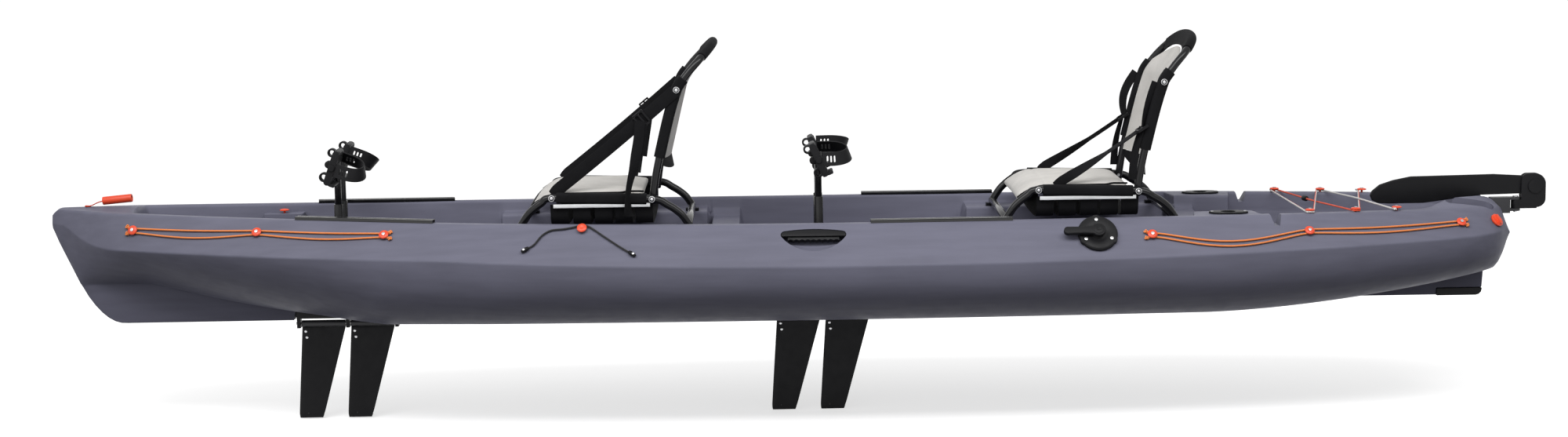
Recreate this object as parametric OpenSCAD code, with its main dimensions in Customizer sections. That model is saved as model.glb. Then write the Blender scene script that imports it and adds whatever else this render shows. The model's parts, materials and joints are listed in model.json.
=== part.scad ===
// Tandem sit-on-top kayak with two pedal drives, framed seats and a flip-up rudder.
// +X runs aft, +Z up, -Y is port. The origin is amidships on the flat of the keel.

/* [Hull] */
// Length of the hull from stem to stern
hull_len = 4270; // [4200:10:4360]
// Beam over the side crease
beam = 860; // [830:5:900]
// Height of the side crease amidships
crease_h = 195; // [185:1:205]
// Height of the coaming amidships
coaming_h = 303; // [298:1:312]
// How far the upper side panel leans inboard
panel_lean = 88; // [80:1:96]
// Width of the coaming rim
rim_w = 34; // [32:1:40]
// Wall of the moulded shell
wall = 5; // [4:0.5:6]
// Height of the cockpit floors
floor_h = 115; // [108:1:122]
// Height of the tank well floor
tank_floor_h = 190; // [175:1:205]
// Height of the deck channel under the stowed rudder
channel_h = 255; // [245:1:260]
// Height of the seat benches
bench_h = 276; // [268:1:280]
// Half width between the seat benches
bench_half = 188; // [180:1:194]

/* [Layout on a hull 4270 long] */
// Front end of the open cockpit
fore_well_at = -1888; // [-1900:1:-1870]
// Middle of the beam between the cockpits
mid_beam_at = -170; // [-175:1:-165]
// Middle of the beam behind the rear seat
aft_beam_at = 1195; // [1190:1:1205]
// Aft end of the tank well
tank_end_at = 1850; // [1840:1:1860]
// Crank shaft of the front drive
front_drive_at = -1295; // [-1310:1:-1280]
// Crank shaft of the rear drive
rear_drive_at = 103; // [90:1:115]
// Front bolts of the front seat
front_seat_at = -660; // [-670:1:-650]
// Front bolts of the rear seat
rear_seat_at = 726; // [716:1:736]
// Middle of the side hand grips
grip_at = 80; // [60:1:100]
// Steering lever pivot
lever_at = 876; // [860:1:890]
// Rod holders
rod_at = 1266; // [1262:1:1270]
// V notches in the coaming
notch_at = 1392; // [1385:1:1400]
// Middle of the front gear rails
front_rail_at = -1192; // [-1200:1:-1180]
// Middle of the rear gear rails
rear_rail_at = 442; // [430:1:450]
// First bow bungee pad
bow_pad_at = -1869; // [-1880:1:-1860]
// First stern bungee pad
stern_pad_at = 1030; // [1020:1:1040]

/* [Fittings] */
// Length of a gear rail
rail_len = 400; // [360:5:420]
// Width of a gear rail
rail_w = 26; // [24:1:30]
// Height of a gear rail
rail_h = 9; // [8:0.5:12]
// Spacing of the bow bungee pads
bow_pad_step = 370; // [360:1:375]
// Spacing of the stern bungee pads
stern_pad_step = 449; // [440:1:452]
// Radius of a bungee pad
pad_r = 14; // [12:0.5:16]
// Radius of the bungee cord
cord_r = 2.6; // [2:0.1:2.8]
// Bore radius of a rod holder
rod_r = 20.5; // [19:0.5:21]
// Depth of a rod holder
rod_depth = 150; // [130:1:160]
// Width of a hand recess
recess_w = 196; // [180:1:210]
// Height of a hand recess along the panel
recess_h = 74; // [68:1:80]
// Depth of a hand recess
recess_depth = 30; // [26:1:34]
// Radius of the steering lever base
lever_base_r = 56; // [50:1:60]
// Length of the steering lever from its pivot
lever_len = 98; // [85:1:110]
// Radius of the drain plug thread
plug_r = 11; // [9:0.5:13]

/* [Rudder] */
// Distance of the rudder pin behind the stern
pin_gap = 20; // [18:1:26]
// Distance of the blade pivot behind the rudder pin
blade_offset = 54; // [50:1:60]
// Height of the blade pivot
blade_pivot_h = 336; // [332:1:340]
// Length of the blade in front of its pivot
blade_len = 484; // [440:1:490]
// Depth of the blade near its tip
blade_depth = 80; // [70:1:84]
// Thickness of the blade
blade_t = 10; // [8:0.5:12]
// Radius of the rudder pin
rudder_pin_r = 5; // [4:0.5:6]

/* [Pedal drives] */
// Length of a drive well
well_len = 326; // [324:1:340]
// Width of a drive well
well_w = 70; // [64:1:80]
// Height of the crank shaft above the cockpit floor
crank_rise = 36; // [34:1:44]
// Crank shaft to pedal axle
crank_len = 310; // [290:1:330]
// Distance of each crank from the centreline
crank_y = 42; // [40:1:46]
// Radius of the crank shaft
shaft_r = 8; // [6:0.5:9]
// Outer radius of the crank sleeve
sleeve_r = 13; // [12:0.5:14]
// Radius of the pedal post
post_r = 10; // [8:0.5:10.5]
// Width of a pedal
pedal_w = 88; // [80:1:96]
// Height of a pedal plate
pedal_h = 104; // [90:1:112]
// Lean of the front pedals at rest, top towards the stern
front_lean = 20; // [10:1:30]
// Lean of the rear pedals at rest, top towards the bow
rear_lean = 34; // [20:1:40]
// Reach of a foot strap from its pedal
foot_reach = 78; // [60:1:84]
// Top chord of a fin
fin_root = 128; // [122:1:130]
// Bottom chord of a fin
fin_tip = 70; // [60:1:80]
// Height of a fin
fin_h = 272; // [250:1:285]
// Thickness of a fin at its mast
fin_t = 15; // [13:0.5:18]
// Radius of a fin mast
mast_r = 4; // [3:0.5:4.5]

/* [Seats] */
// Height of the front seat bolts
seat_h = 374; // [368:1:380]
// Front bolt to back pivot
seat_len = 285; // [280:1:300]
// Half width of the base frame
seat_half = 218; // [214:1:224]
// How far the back frame stands inside the base frame
back_inset = 26; // [24:1:30]
// Radius of the seat tubes
tube_r = 11; // [9:0.5:12]
// Height of the seat back above its pivot
back_h = 430; // [400:1:450]
// Crown of the seat pan
pan_crown = 20; // [12:1:24]
// Width of the side webbing
web_w = 36; // [30:1:40]
// Height of the rear seat's webbing on its back, above the pivot
rear_web_top = 180; // [160:1:200]
// Radius of the seat bolts
bolt_r = 4; // [3:0.5:5]

/* [Clearances] */
// Gap between seated pieces
gap = 0.3; // [0.2:0.05:0.4]
// Radial clearance of a running fit
fit = 0.05; // [0.03:0.01:0.08]

/* [Hidden] */

left = -1;
right = 1;
sides = [left, right];
bow_x = -hull_len / 2;
stern_x = hull_len / 2;

// Places along the hull, which move with its length
stretch = hull_len / 4270;
fore_well_x = fore_well_at * stretch;
mid_beam_x = mid_beam_at * stretch;
aft_beam_x = aft_beam_at * stretch;
tank_end_x = tank_end_at * stretch;
front_drive_x = front_drive_at * stretch;
rear_drive_x = rear_drive_at * stretch;
front_seat_x = front_seat_at * stretch;
rear_seat_x = rear_seat_at * stretch;
grip_x = grip_at * stretch;
lever_x = lever_at * stretch;
rod_x = rod_at * stretch;
notch_x = notch_at * stretch;
front_rail_x = front_rail_at * stretch;
rear_rail_x = rear_rail_at * stretch;
bow_pad_x = bow_pad_at * stretch;
stern_pad_x = stern_pad_at * stretch;
bow_pad_pitch = bow_pad_step * stretch;
stern_pad_pitch = stern_pad_step * stretch;

// Fore and aft extent of the moulded beams and benches
beam_half = 40;
aft_beam_half = 35;
mid_beam_h = 250;
aft_beam_h = 262;
front_bench_x = front_seat_x - 200;
rear_bench_x = rear_seat_x - 190;
// Run of a moulded end wall
run = 18;

// Hull lines, as shares of the length from the stem
widest = 0.56;
bow_rise = 105;
stern_rise = 38;
bow_sheer = 40;
stern_drop = 8;
plan = [[0, 0.04], [0.055, 0.36], [0.19, 0.72], [0.35, 0.94], [0.5, 1], [0.65, 0.99],
    [0.8, 0.89], [0.9, 0.76], [0.965, 0.6], [1, 0.3]];

// Stem and stern profile, as distances from the ends
stem_top = 285;
stem_knuckle = [88, 90];
forefoot = 196;
rocker_x = 1200 * stretch;
rocker_h = 105;
transom_len = 85;
transom_rise = 92;
deck_fall_len = 60;
deck_fall = 80;
last_station = 4;
horn_x = stern_x - 156;
horn_h = 26;
horn_len = 100;
rudder_sweep = 25;

function clamp(v, low, high) = min(max(v, low), high);
function mix(a, b, t) = a * (1 - t) + b * t;
function unit(v) = v / norm(v);
function share(x) = clamp((x - bow_x) / hull_len, 0, 1);
function ramp(x, start) = clamp((x - start) / run, 0, 1);
function between(a, b, n) = [for (i = [1 : n]) a + (b - a) * i / (n + 1)];

// Smooth curve through a list of knots
function knot_slope(k, i) =
    let (a = max(i - 1, 0), b = min(i + 1, len(k) - 1))
    (k[b][1] - k[a][1]) / (k[b][0] - k[a][0]);
function knot_index(k, s, i = 0) = i >= len(k) - 2 || s < k[i + 1][0] ? i : knot_index(k, s, i + 1);
function curve(k, s) =
    let (i = knot_index(k, s), h = k[i + 1][0] - k[i][0], t = (s - k[i][0]) / h)
    (2 * t ^ 3 - 3 * t ^ 2 + 1) * k[i][1] + (t ^ 3 - 2 * t ^ 2 + t) * h * knot_slope(k, i)
    + (3 * t ^ 2 - 2 * t ^ 3) * k[i + 1][1] + (t ^ 3 - t ^ 2) * h * knot_slope(k, i + 1);

// Longitudinal lines of the hull
function fore_share(x) = max(0, (widest - share(x)) / widest);
function aft_share(x) = max(0, (share(x) - widest) / (1 - widest));
function crease_y(x) = beam / 2 * curve(plan, share(x));
function coaming_y(x) = crease_y(x) - panel_lean * min(1, crease_y(x) / 300);
function bottom_z(x) =
    let (d = x - bow_x, k = stem_knuckle, t = max(0, x - rocker_x) / (stern_x - transom_len - rocker_x),
        e = max(0, x - stern_x + transom_len) / transom_len)
    d < k[0] ? mix(stem_top, k[1], d / k[0])
    : d < forefoot ? k[1] * ((forefoot - d) / (forefoot - k[0])) ^ 2
    : rocker_h * t ^ 1.7 + transom_rise * e ^ 2.2;
function top_z(x) =
    coaming_h + bow_sheer * fore_share(x) ^ 2 - stern_drop * aft_share(x) ^ 2
    - 20 * max(0, 1 - (x - bow_x) / 30) ^ 2
    - deck_fall * (max(0, x - stern_x + deck_fall_len) / deck_fall_len) ^ 2;
function crease_z(x) =
    let (low = bottom_z(x), high = top_z(x),
        z = crease_h + bow_rise * fore_share(x) ^ 2.2 + stern_rise * aft_share(x) ^ 2)
    clamp(z, mix(low, high, 0.3), mix(low, high, 0.7));

// Keel blade under the bow, which fades out behind the front drive
blade_fade_x = -1150 * stretch;
blade_full_x = -1850 * stretch;
blade_top = 118;
keel_flat = 60;
keel_blade = 14;
function blade_share(x) = clamp((blade_fade_x - x) / (blade_fade_x - blade_full_x), 0, 1);
function keel_y(x) = min(mix(keel_flat, keel_blade, min(1, 3.5 * blade_share(x))), 0.55 * crease_y(x));
function bilge_y(x) = min(keel_y(x) + 8, 0.75 * crease_y(x));
function bilge_z(x) =
    let (low = bottom_z(x)) clamp(blade_top * blade_share(x) ^ 1.6, low + 0.5, mix(low, crease_z(x), 0.5));
function fullness(x) = 1.65 + 0.85 * clamp(share(x) / 0.3, 0, 1);

// Inside of the cockpits; grow moves the end walls into the hull by a wall
rod_pad = 84;
function rim(x, grow = 0) =
    min(rim_w, 0.3 * coaming_y(x))
    + rod_pad * (ramp(x, aft_beam_x - aft_beam_half + grow) - ramp(x, notch_x - 3 * run - grow));
function rudder_room(x) = 24 + max(0, stern_x + pin_gap - x) * tan(rudder_sweep);
function well_y(x, grow = 0) = min(coaming_y(x) - rim(x, grow), rudder_room(x));
function horn(x) = horn_h * exp(-((x - horn_x) / horn_len) ^ 4);
fore_floor_h = 285;
fore_rise_x = -1500 * stretch;
function cockpit_floor(x) =
    mix(floor_h, fore_floor_h, clamp((fore_rise_x - x) / (fore_rise_x - fore_well_x), 0, 1) ^ 1.3);
function opened(x, grow) = ramp(x, fore_well_x - grow);
function beam_at(x, mid, half, grow) = ramp(x, mid - half - run + grow) - ramp(x, mid + half - grow);
function well_floor(x, grow) =
    let (base = x < aft_beam_x ? cockpit_floor(x) : tank_floor_h,
        a = mix(base, mid_beam_h, beam_at(x, mid_beam_x, beam_half, grow)),
        b = mix(a, aft_beam_h, beam_at(x, aft_beam_x, aft_beam_half, grow)))
    min(mix(b, channel_h, ramp(x, tank_end_x - run + grow)), top_z(x) - 1);
function bench(x, grow) =
    ramp(x, front_bench_x + grow) - ramp(x, mid_beam_x - beam_half - run - grow)
    + ramp(x, rear_bench_x + grow) - ramp(x, aft_beam_x - aft_beam_half - run - grow);

// Half of a cross section, from the keel out to the crease, over the rim and down to the well floor
arc_steps = 7;
deck_crown = 8;
channel_crown = 2;
function half_section(x, grow) =
    let (yc = crease_y(x), zc = crease_z(x), yj = bilge_y(x), zj = bilge_z(x), p = 2 / fullness(x),
        zt = top_z(x), yi = well_y(x, grow), zf = well_floor(x, grow), b = bench(x, grow),
        o = opened(x, grow), zl = mix(mix(zf, zt, 0.5), bench_h, b), yl = mix(yi - 8, bench_half, b),
        inner = [yi, zt + horn(x)], middle = [0, zt + deck_crown * min(1, yi / 60)],
        wall_points = [[yi - 6, zl], [yl, zl - 6 * (1 - b)], [yl - 10, zf + 10], [yl - 20, zf],
            [0, zf + channel_crown * ramp(x, tank_end_x)]])
    concat([[0, bottom_z(x)], [keel_y(x), bottom_z(x)], [yj, zj]],
        [for (i = [1 : arc_steps - 1]) let (a = 90 * i / arc_steps)
            [yj + (yc - yj) * sin(a) ^ p, zj + (zc - zj) * (1 - cos(a) ^ p)]],
        [[yc, zc], [coaming_y(x), zt], inner],
        [for (i = [0 : 4]) mix(mix(inner, middle, (i + 1) / 5), wall_points[i], o)]);
function mirrored(h) = [for (i = [len(h) - 2 : -1 : 1]) [-h[i][0], h[i][1]]];
function section(x, grow) = let (h = half_section(x, grow)) concat(h, mirrored(h));

// A section drawn in by the wall
function inward(a, b) = unit([a[1] - b[1], b[0] - a[0]]);
function drawn_in(s, by) =
    let (n = len(s))
    [for (i = [0 : n - 1]) let (a = inward(s[(i + n - 1) % n], s[i]), b = inward(s[i], s[(i + 1) % n]),
        m = unit(a + b)) s[i] + by * min(1.5, 1 / (m * a)) * m];

// Stations of the loft, close together at each moulded wall; the inner skin has half as many between
function steps(n, g) = g > 0 ? ceil(n / 2) : n;
function beam_stations(mid, half, g) = concat(
    g == 0 ? [mid - half - run, mid - half]
        : [mid - half - run - g, mid - half - run + g, mid - half - g, mid - half + g],
    [mid - half + run + g, mid + half - g, mid + half + run - g]);
function stations(g) = concat(
    [fore_well_x - g, fore_well_x - g + run],
    between(fore_well_x + run, fore_rise_x, steps(4, g)), [fore_rise_x],
    between(fore_rise_x, front_bench_x, steps(5, g)),
    [front_bench_x + g, front_bench_x + g + run],
    between(front_bench_x + run, mid_beam_x - beam_half - run, steps(6, g)),
    beam_stations(mid_beam_x, beam_half, g),
    between(mid_beam_x + beam_half + run, rear_bench_x, steps(5, g)),
    [rear_bench_x + g, rear_bench_x + g + run],
    between(rear_bench_x + run, aft_beam_x - aft_beam_half - run, steps(4, g)),
    beam_stations(aft_beam_x, aft_beam_half, g),
    [notch_x - 3 * run - g, notch_x - 2 * run - g], between(notch_x, tank_end_x - run, steps(4, g)),
    [tank_end_x - run + g, tank_end_x + g], between(tank_end_x, stern_x - transom_len, steps(4, g)));
bow_stations = [for (d = [0, 10, 25, 50, 88, 120, 155, forefoot]) bow_x + d];
stern_stations = [for (d = [transom_len, 66, 50, 36, 24, 12, last_station]) stern_x - d];

// Skin lofted through equal rings of points, each ring symmetric about its first point
function cap_faces(n, base, flip) =
    [for (i = [0 : n / 2 - 1], t = [0, 1])
        let (a = i, b = i + 1, c = n - i - 1, d = (n - i) % n, f = t == 0 ? [a, b, c] : [a, c, d])
        if (f[0] != f[2] && f[1] != f[2] && f[0] != f[1])
            [for (v = flip ? [f[0], f[2], f[1]] : f) base + v]];
function loft_faces(rings, n) = concat(
    [for (r = [0 : rings - 2], i = [0 : n - 1], t = [0, 1])
        let (j = (i + 1) % n, a = r * n + i, b = r * n + j)
        t == 0 ? [a, a + n, b] : [b, a + n, b + n]],
    cap_faces(n, 0, false), cap_faces(n, (rings - 1) * n, true));

// The last ring is closed under the channel, so that its end face is flat and simple
function end_ring(s, h) = [for (p = s) [p[0], min(p[1], h - 0.04 * abs(p[0]))]];
module skin(xs, grow) {
    last = len(xs) - 1;
    rings = [for (x = xs) let (s = section(x, grow)) grow > 0 ? drawn_in(s, grow) : s];
    ends = end_ring(rings[last], well_floor(xs[last], grow) - grow);
    points = [for (i = [0 : last], p = i < last ? rings[i] : ends) [xs[i], p[0], p[1]]];
    polyhedron(points, loft_faces(len(xs), len(rings[0])), convexity = 10);
}
module outer_skin() { skin(concat(bow_stations, stations(0), stern_stations), 0); }
module inner_skin() {
    skin(concat([for (i = [5 : 7]) bow_stations[i]], stations(wall), [stern_stations[0]]), wall);
}

// Sweep of a flat outline along a path, carried along without twist
function heading(p, i) = unit(p[min(i + 1, len(p) - 1)] - p[max(i - 1, 0)]);
function carried(p, across, i = 0) =
    let (d = heading(p, i), m = unit(across - d * (across * d)))
    i == len(p) - 1 ? [m] : concat([m], carried(p, m, i + 1));
function ring(r, n) = [for (i = [0 : n - 1]) r * [cos(360 * i / n), sin(360 * i / n)]];
function ribbon(w, t) = [[-w, -t] / 2, [w, -t] / 2, [w, t] / 2, [-w, t] / 2];
module sweep(path, outline, across) {
    m = carried(path, across);
    points = [for (i = [0 : len(path) - 1], o = outline)
        path[i] + o[0] * m[i] + o[1] * cross(heading(path, i), m[i])];
    polyhedron(points, loft_faces(len(path), len(outline)), convexity = 6);
}
function bend(a, b, c, d, t) =
    (2 * b + (c - a) * t + (2 * a - 5 * b + 4 * c - d) * t ^ 2 + (3 * b - a - 3 * c + d) * t ^ 3) / 2;
function spline(p, n) =
    let (e = len(p) - 1)
    concat([for (i = [0 : e - 1], k = [0 : n - 1])
        bend(p[max(i - 1, 0)], p[i], p[i + 1], p[min(i + 2, e)], k / n)], [p[e]]);

// Places on the sloped upper panel: t runs from the crease to the coaming, local z points outboard
function panel_point(x, t, side) =
    [x, side * mix(crease_y(x), coaming_y(x), t), mix(crease_z(x), top_z(x), t)];
function panel_along(x, t, side) = unit(panel_point(x + 20, t, side) - panel_point(x - 20, t, side));
function panel_up(x, side) = unit(panel_point(x, 1, side) - panel_point(x, 0, side));
function panel_out(x, t, side) = side * unit(cross(panel_up(x, side), panel_along(x, t, side)));
module on_panel(x, t, side) {
    o = panel_point(x, t, side);
    c = panel_out(x, t, side);
    a = panel_along(x, t, side);
    b = cross(c, a);
    multmatrix([[a[0], b[0], c[0], o[0]], [a[1], b[1], c[1], o[1]], [a[2], b[2], c[2], o[2]]]) children();
}

// Hull: hollow shell with lined recesses
grip_t = 0.6;
drain_x = stern_x - 89;
drain_t = 0.44;
well_shift = 13;
drive_xs = [front_drive_x, rear_drive_x];
oval_len = 140;
oval_w = 40;
oval_h = 266;
notch_low = 271;
notch_top_w = 44;
notch_low_w = 14;
skeg_t = 28;
skeg_low = 18;
plate_x = stern_x - 212;
plate_len = 134;
plate_top = 38;
shelf_x = -1485 * stretch;
shelf_len = 116;
shelf_top = 300;
rod_tilt = 15;
rod_wall = 3;
function rod_y(side) = side * (coaming_y(rod_x) - rim(rod_x) / 2);

module hand_recess(side, extra) {
    r = 14;
    low_r = 26;
    up = -side;
    on_panel(grip_x, grip_t, side) translate([0, 0, -recess_depth - extra]) hull() {
        for (e = sides) translate([e * (recess_w / 2 - r), up * (recess_h / 2 - r), 0])
            cylinder(r = r + extra, h = recess_depth + 60, $fn = 20);
        for (e = sides) translate([e * recess_w / 5, -up * (recess_h / 2 - low_r), 0])
            cylinder(r = low_r + extra, h = recess_depth + 60, $fn = 20);
    }
}
module stern_hand_hole(side, extra) {
    y = (rudder_room(horn_x) + coaming_y(horn_x)) / 2;
    translate([horn_x, side * y, oval_h - extra]) hull()
        for (e = sides) translate([e * (oval_len - oval_w) / 2, 0, 0])
            cylinder(r = oval_w / 2 + extra, h = 80, $fn = 20);
}
module coaming_notch(side, extra) {
    y = side * (coaming_y(notch_x) - rim_w / 2);
    translate([notch_x, y, 0]) hull() {
        translate([0, 0, notch_low - extra]) cube([notch_low_w + 2 * extra, 160, 0.1], center = true);
        translate([0, 0, coaming_h + 20]) cube([notch_top_w + 2 * extra, 160, 0.1], center = true);
    }
}
module drive_well(x, extra) {
    e = (well_len - well_w) / 2;
    translate([x + well_shift, 0, -5]) hull()
        for (k = sides) translate([k * e, 0, 0])
            cylinder(r = well_w / 2 + extra, h = floor_h + 10, $fn = 24);
}
module recesses(extra) {
    for (side = sides) {
        hand_recess(side, extra);
        stern_hand_hole(side, extra);
        coaming_notch(side, extra);
    }
    for (x = drive_xs) drive_well(x, extra);
}
module skeg() {
    aft = plate_x + plate_len;
    rotate([90, 0, 0]) linear_extrude(skeg_t, center = true)
        polygon([[plate_x - 385, 60], [plate_x - 320, skeg_low], [plate_x, skeg_low],
            [plate_x, plate_top], [aft, plate_top], [aft + 6, rocker_h + 20], [plate_x, 150]]);
}
module rod_axis(side) {
    translate([rod_x, rod_y(side), top_z(rod_x)]) rotate([0, 180 - rod_tilt, 0]) children();
}
module shelves() {
    for (side = sides) translate([shelf_x, side * (well_y(shelf_x) - 26), shelf_top - 14])
        cube([shelf_len, 60, 28], center = true);
}
module hull_shell() {
    color("slategray") difference() {
        union() {
            outer_skin();
            skeg();
            shelves();
        }
        difference() {
            inner_skin();
            recesses(wall);
        }
        recesses(0);
        on_panel(drain_x, drain_t, left) translate([0, 0, -20]) cylinder(r = plug_r + 1, h = 40, $fn = 24);
        for (side = sides) rod_axis(side) translate([0, 0, -30])
            cylinder(r = rod_r + rod_wall + 2.5, h = 90, $fn = 24);
    }
}
module skid_plate() {
    r = 18;
    color("black") rotate([90, 0, 0]) linear_extrude(skeg_t + 8, center = true)
        polygon(concat([[plate_x + gap, skeg_low - 2], [plate_x + gap, plate_top - gap],
            [plate_x + plate_len, plate_top - gap]],
            [for (a = [0 : 30 : 90]) [plate_x + plate_len - r + r * cos(a),
                skeg_low - 2 + r - r * sin(a)]]));
}

// Bow handle: a tube grip on a webbing strap
handle_x = bow_x + 94;
handle_len = 86;
handle_r = 12;
handle_bore = 8;
handle_tilt = 5;
strap_t = 3;
strap_w = 15;
function deck_z(x) = top_z(x) + deck_crown * min(1, well_y(x) / 60);
function strap_z(x) = deck_z(x) + 3 * gap + strap_t / 2;
handle_z = deck_z(handle_x + 52) + handle_r + 4;
function grip_z(x) = handle_z + (x - handle_x - 52) * tan(handle_tilt);
module bow_handle() {
    color("orangered") translate([handle_x + 52, 0, handle_z])
        rotate([0, 90 - handle_tilt, 0]) difference() {
            cylinder(r = handle_r, h = handle_len);
            translate([0, 0, -1]) cylinder(r = handle_bore, h = handle_len + 2);
        }
}
module bow_strap() {
    x = handle_x;
    color("firebrick") sweep(spline([[x, 0, strap_z(x)], [x + 16, 0, strap_z(x + 16)],
        [x + 36, 0, mix(strap_z(x + 36), grip_z(x + 36), 0.7)], [x + 58, 0, grip_z(x + 58)],
        [x + 100, 0, grip_z(x + 100)], [x + 134, 0, grip_z(x + 134)]], 3),
        ribbon(strap_t, strap_w), [0, 0, 1]);
}
module drain_plug() {
    color("red") on_panel(drain_x, drain_t, left) {
        translate([0, 0, 1]) cylinder(r = plug_r + 9, h = 5, $fn = 12);
        translate([0, 0, -14]) cylinder(r = plug_r, h = 16, $fn = 12);
        translate([0, 0, 9]) cube([8, 2 * plug_r + 6, 10], center = true);
    }
}

// Gear rails with a T slot, along the coaming rim
slot_w = 10;
slot_foot_w = 18;
slot_foot_h = 3.5;
slot_floor = 1.5;
function rim_point(x, side) = [x, side * (coaming_y(x) - min(rim_w, 0.3 * coaming_y(x)) / 2), top_z(x)];
module gear_rail(mid, side) {
    a = rim_point(mid - rail_len / 2, side);
    b = rim_point(mid + rail_len / 2, side);
    d = b - a;
    translate((a + b) / 2 + [0, 0, gap + rail_h / 2])
        rotate([0, -asin(d[2] / norm(d)), atan2(d[1], d[0])]) difference() {
            cube([norm(d), rail_w, rail_h], center = true);
            translate([0, 0, slot_floor + slot_foot_h]) cube([norm(d) + 2, slot_w, rail_h], center = true);
            translate([0, 0, slot_floor + (slot_foot_h - rail_h) / 2])
                cube([norm(d) + 2, slot_foot_w, slot_foot_h], center = true);
        }
}
module gear_rails() {
    color("dimgray") for (side = sides, mid = [front_rail_x, rear_rail_x]) gear_rail(mid, side);
}
flange_t = 5;
flange_half = 34;
rod_flange_w = 56;
module rod_flange() {
    linear_extrude(flange_t) polygon([for (a = [15 : 30 : 345])
        [flange_half * cos(a) + 22 * sign(cos(a)), rod_flange_w / 2 * sin(a) / cos(15)]]);
}
module rod_holders() {
    reach = flange_t / cos(rod_tilt) + rod_r * tan(rod_tilt) + 4;
    color("black") for (side = sides) difference() {
        union() {
            translate([rod_x, rod_y(side), top_z(rod_x) + gap]) rod_flange();
            intersection() {
                rod_axis(side) translate([0, 0, -reach])
                    cylinder(r = rod_r + rod_wall, h = rod_depth + reach, $fn = 12);
                translate([rod_x, rod_y(side), top_z(rod_x) + gap - 250])
                    cube([400, 100, 500 + flange_t], center = true);
            }
        }
        rod_axis(side) translate([0, 0, -2 * reach])
            cylinder(r = rod_r, h = rod_depth - rod_wall + 2 * reach);
    }
}

// Side hand grips, scalloped under the fingers
grip_h = 26;
grip_t_deep = 16;
scallops = 7;
module side_grips() {
    pitch = (recess_w - 50) / scallops;
    color("black") for (side = sides) on_panel(grip_x, grip_t, side)
        translate([0, -side * (recess_h / 2 - grip_h / 2 - gap), -grip_t_deep]) linear_extrude(grip_t_deep)
            difference() {
                square([recess_w - 36, grip_h], center = true);
                for (i = [0 : scallops - 1])
                    translate([(i - (scallops - 1) / 2) * pitch, side * grip_h / 2])
                        circle(r = 6, $fn = 12);
            }
}

// Bungee pads: a stem and a flat dome over two strands of cord
stem_r = 3.4;
cord_air = 1.4;
dome_low = gap + 2 * cord_r + cord_air + 0.5;
dome_h = 5;
cord_off = stem_r + cord_r + 0.4;
cord_lift = gap + cord_r + cord_air;
bow_pad_t = [0.55, 0.62, 0.64];
stern_pad_t = [0.55, 0.48, 0.48];
tank_pad_xs = [1495, 1630, 1752] * stretch;
pad_count = 3;
knob_x = -568 * stretch;
knob_t = 0.9;
function bow_x_at(i) = bow_pad_x + i * bow_pad_pitch;
function stern_x_at(i) = stern_pad_x + i * stern_pad_pitch;
module pad() {
    translate([0, 0, gap]) cylinder(r = stem_r, h = dome_low, $fn = 12);
    translate([0, 0, dome_low]) cylinder(r = pad_r, h = dome_h * 0.6, $fn = 12);
    translate([0, 0, dome_low]) cylinder(r = pad_r * 0.7, h = dome_h, $fn = 12);
}
module bungee_pads() {
    color("orangered") {
        for (side = sides, i = [0 : pad_count - 1]) {
            on_panel(bow_x_at(i), bow_pad_t[i], side) pad();
            on_panel(stern_x_at(i), stern_pad_t[i], side) pad();
            translate(rim_point(tank_pad_xs[i], side)) pad();
        }
        on_panel(knob_x, knob_t, left) pad();
    }
}

// Side bungees: two strands over three pads, with knotted tails past the end pads
strand_steps = 3;
tail = 22;
function strand(xs, ts, sag, side, strand_side) =
    [for (i = [0 : pad_count - 2], k = [0 : strand_steps - (i < pad_count - 2 ? 1 : 0)])
        let (u = k / strand_steps, x = mix(xs[i], xs[i + 1], u), h = 4 * u * (1 - u),
            slope = norm(panel_point(x, 1, side) - panel_point(x, 0, side)),
            t = mix(ts[i], ts[i + 1], u) + (strand_side * cord_off - sag[i] * h) / slope)
        panel_point(x, t, side) + cord_lift * panel_out(x, t, side)];
function tail_point(x, t, side, along, strand_side) =
    let (slope = norm(panel_point(x, 1, side) - panel_point(x, 0, side)), xt = x + along * tail,
        v = t + strand_side * (cord_off + 5) / slope)
    panel_point(xt, v, side) + cord_lift * panel_out(xt, v, side);
module strand_cord(xs, ts, sag, side, strand_side) {
    sweep(concat([tail_point(xs[0], ts[0], side, -1, strand_side)],
        strand(xs, ts, sag, side, strand_side),
        [tail_point(xs[pad_count - 1], ts[pad_count - 1], side, 1, strand_side)]),
        ring(cord_r, 8), [0, 0, 1]);
}
bow_upper_sag = [3, 3];
bow_lower_sag = [14, 12];
stern_upper_sag = [36, 6];
stern_lower_sag = [40, 12];
module side_bungees() {
    bow_xs = [for (i = [0 : pad_count - 1]) bow_x_at(i)];
    stern_xs = [for (i = [0 : pad_count - 1]) stern_x_at(i)];
    color("orange") for (side = sides) {
        strand_cord(bow_xs, bow_pad_t, bow_upper_sag, side, 1);
        strand_cord(bow_xs, bow_pad_t, bow_lower_sag, side, -1);
        strand_cord(stern_xs, stern_pad_t, stern_upper_sag, side, 1);
        strand_cord(stern_xs, stern_pad_t, stern_lower_sag, side, -1);
    }
}

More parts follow.
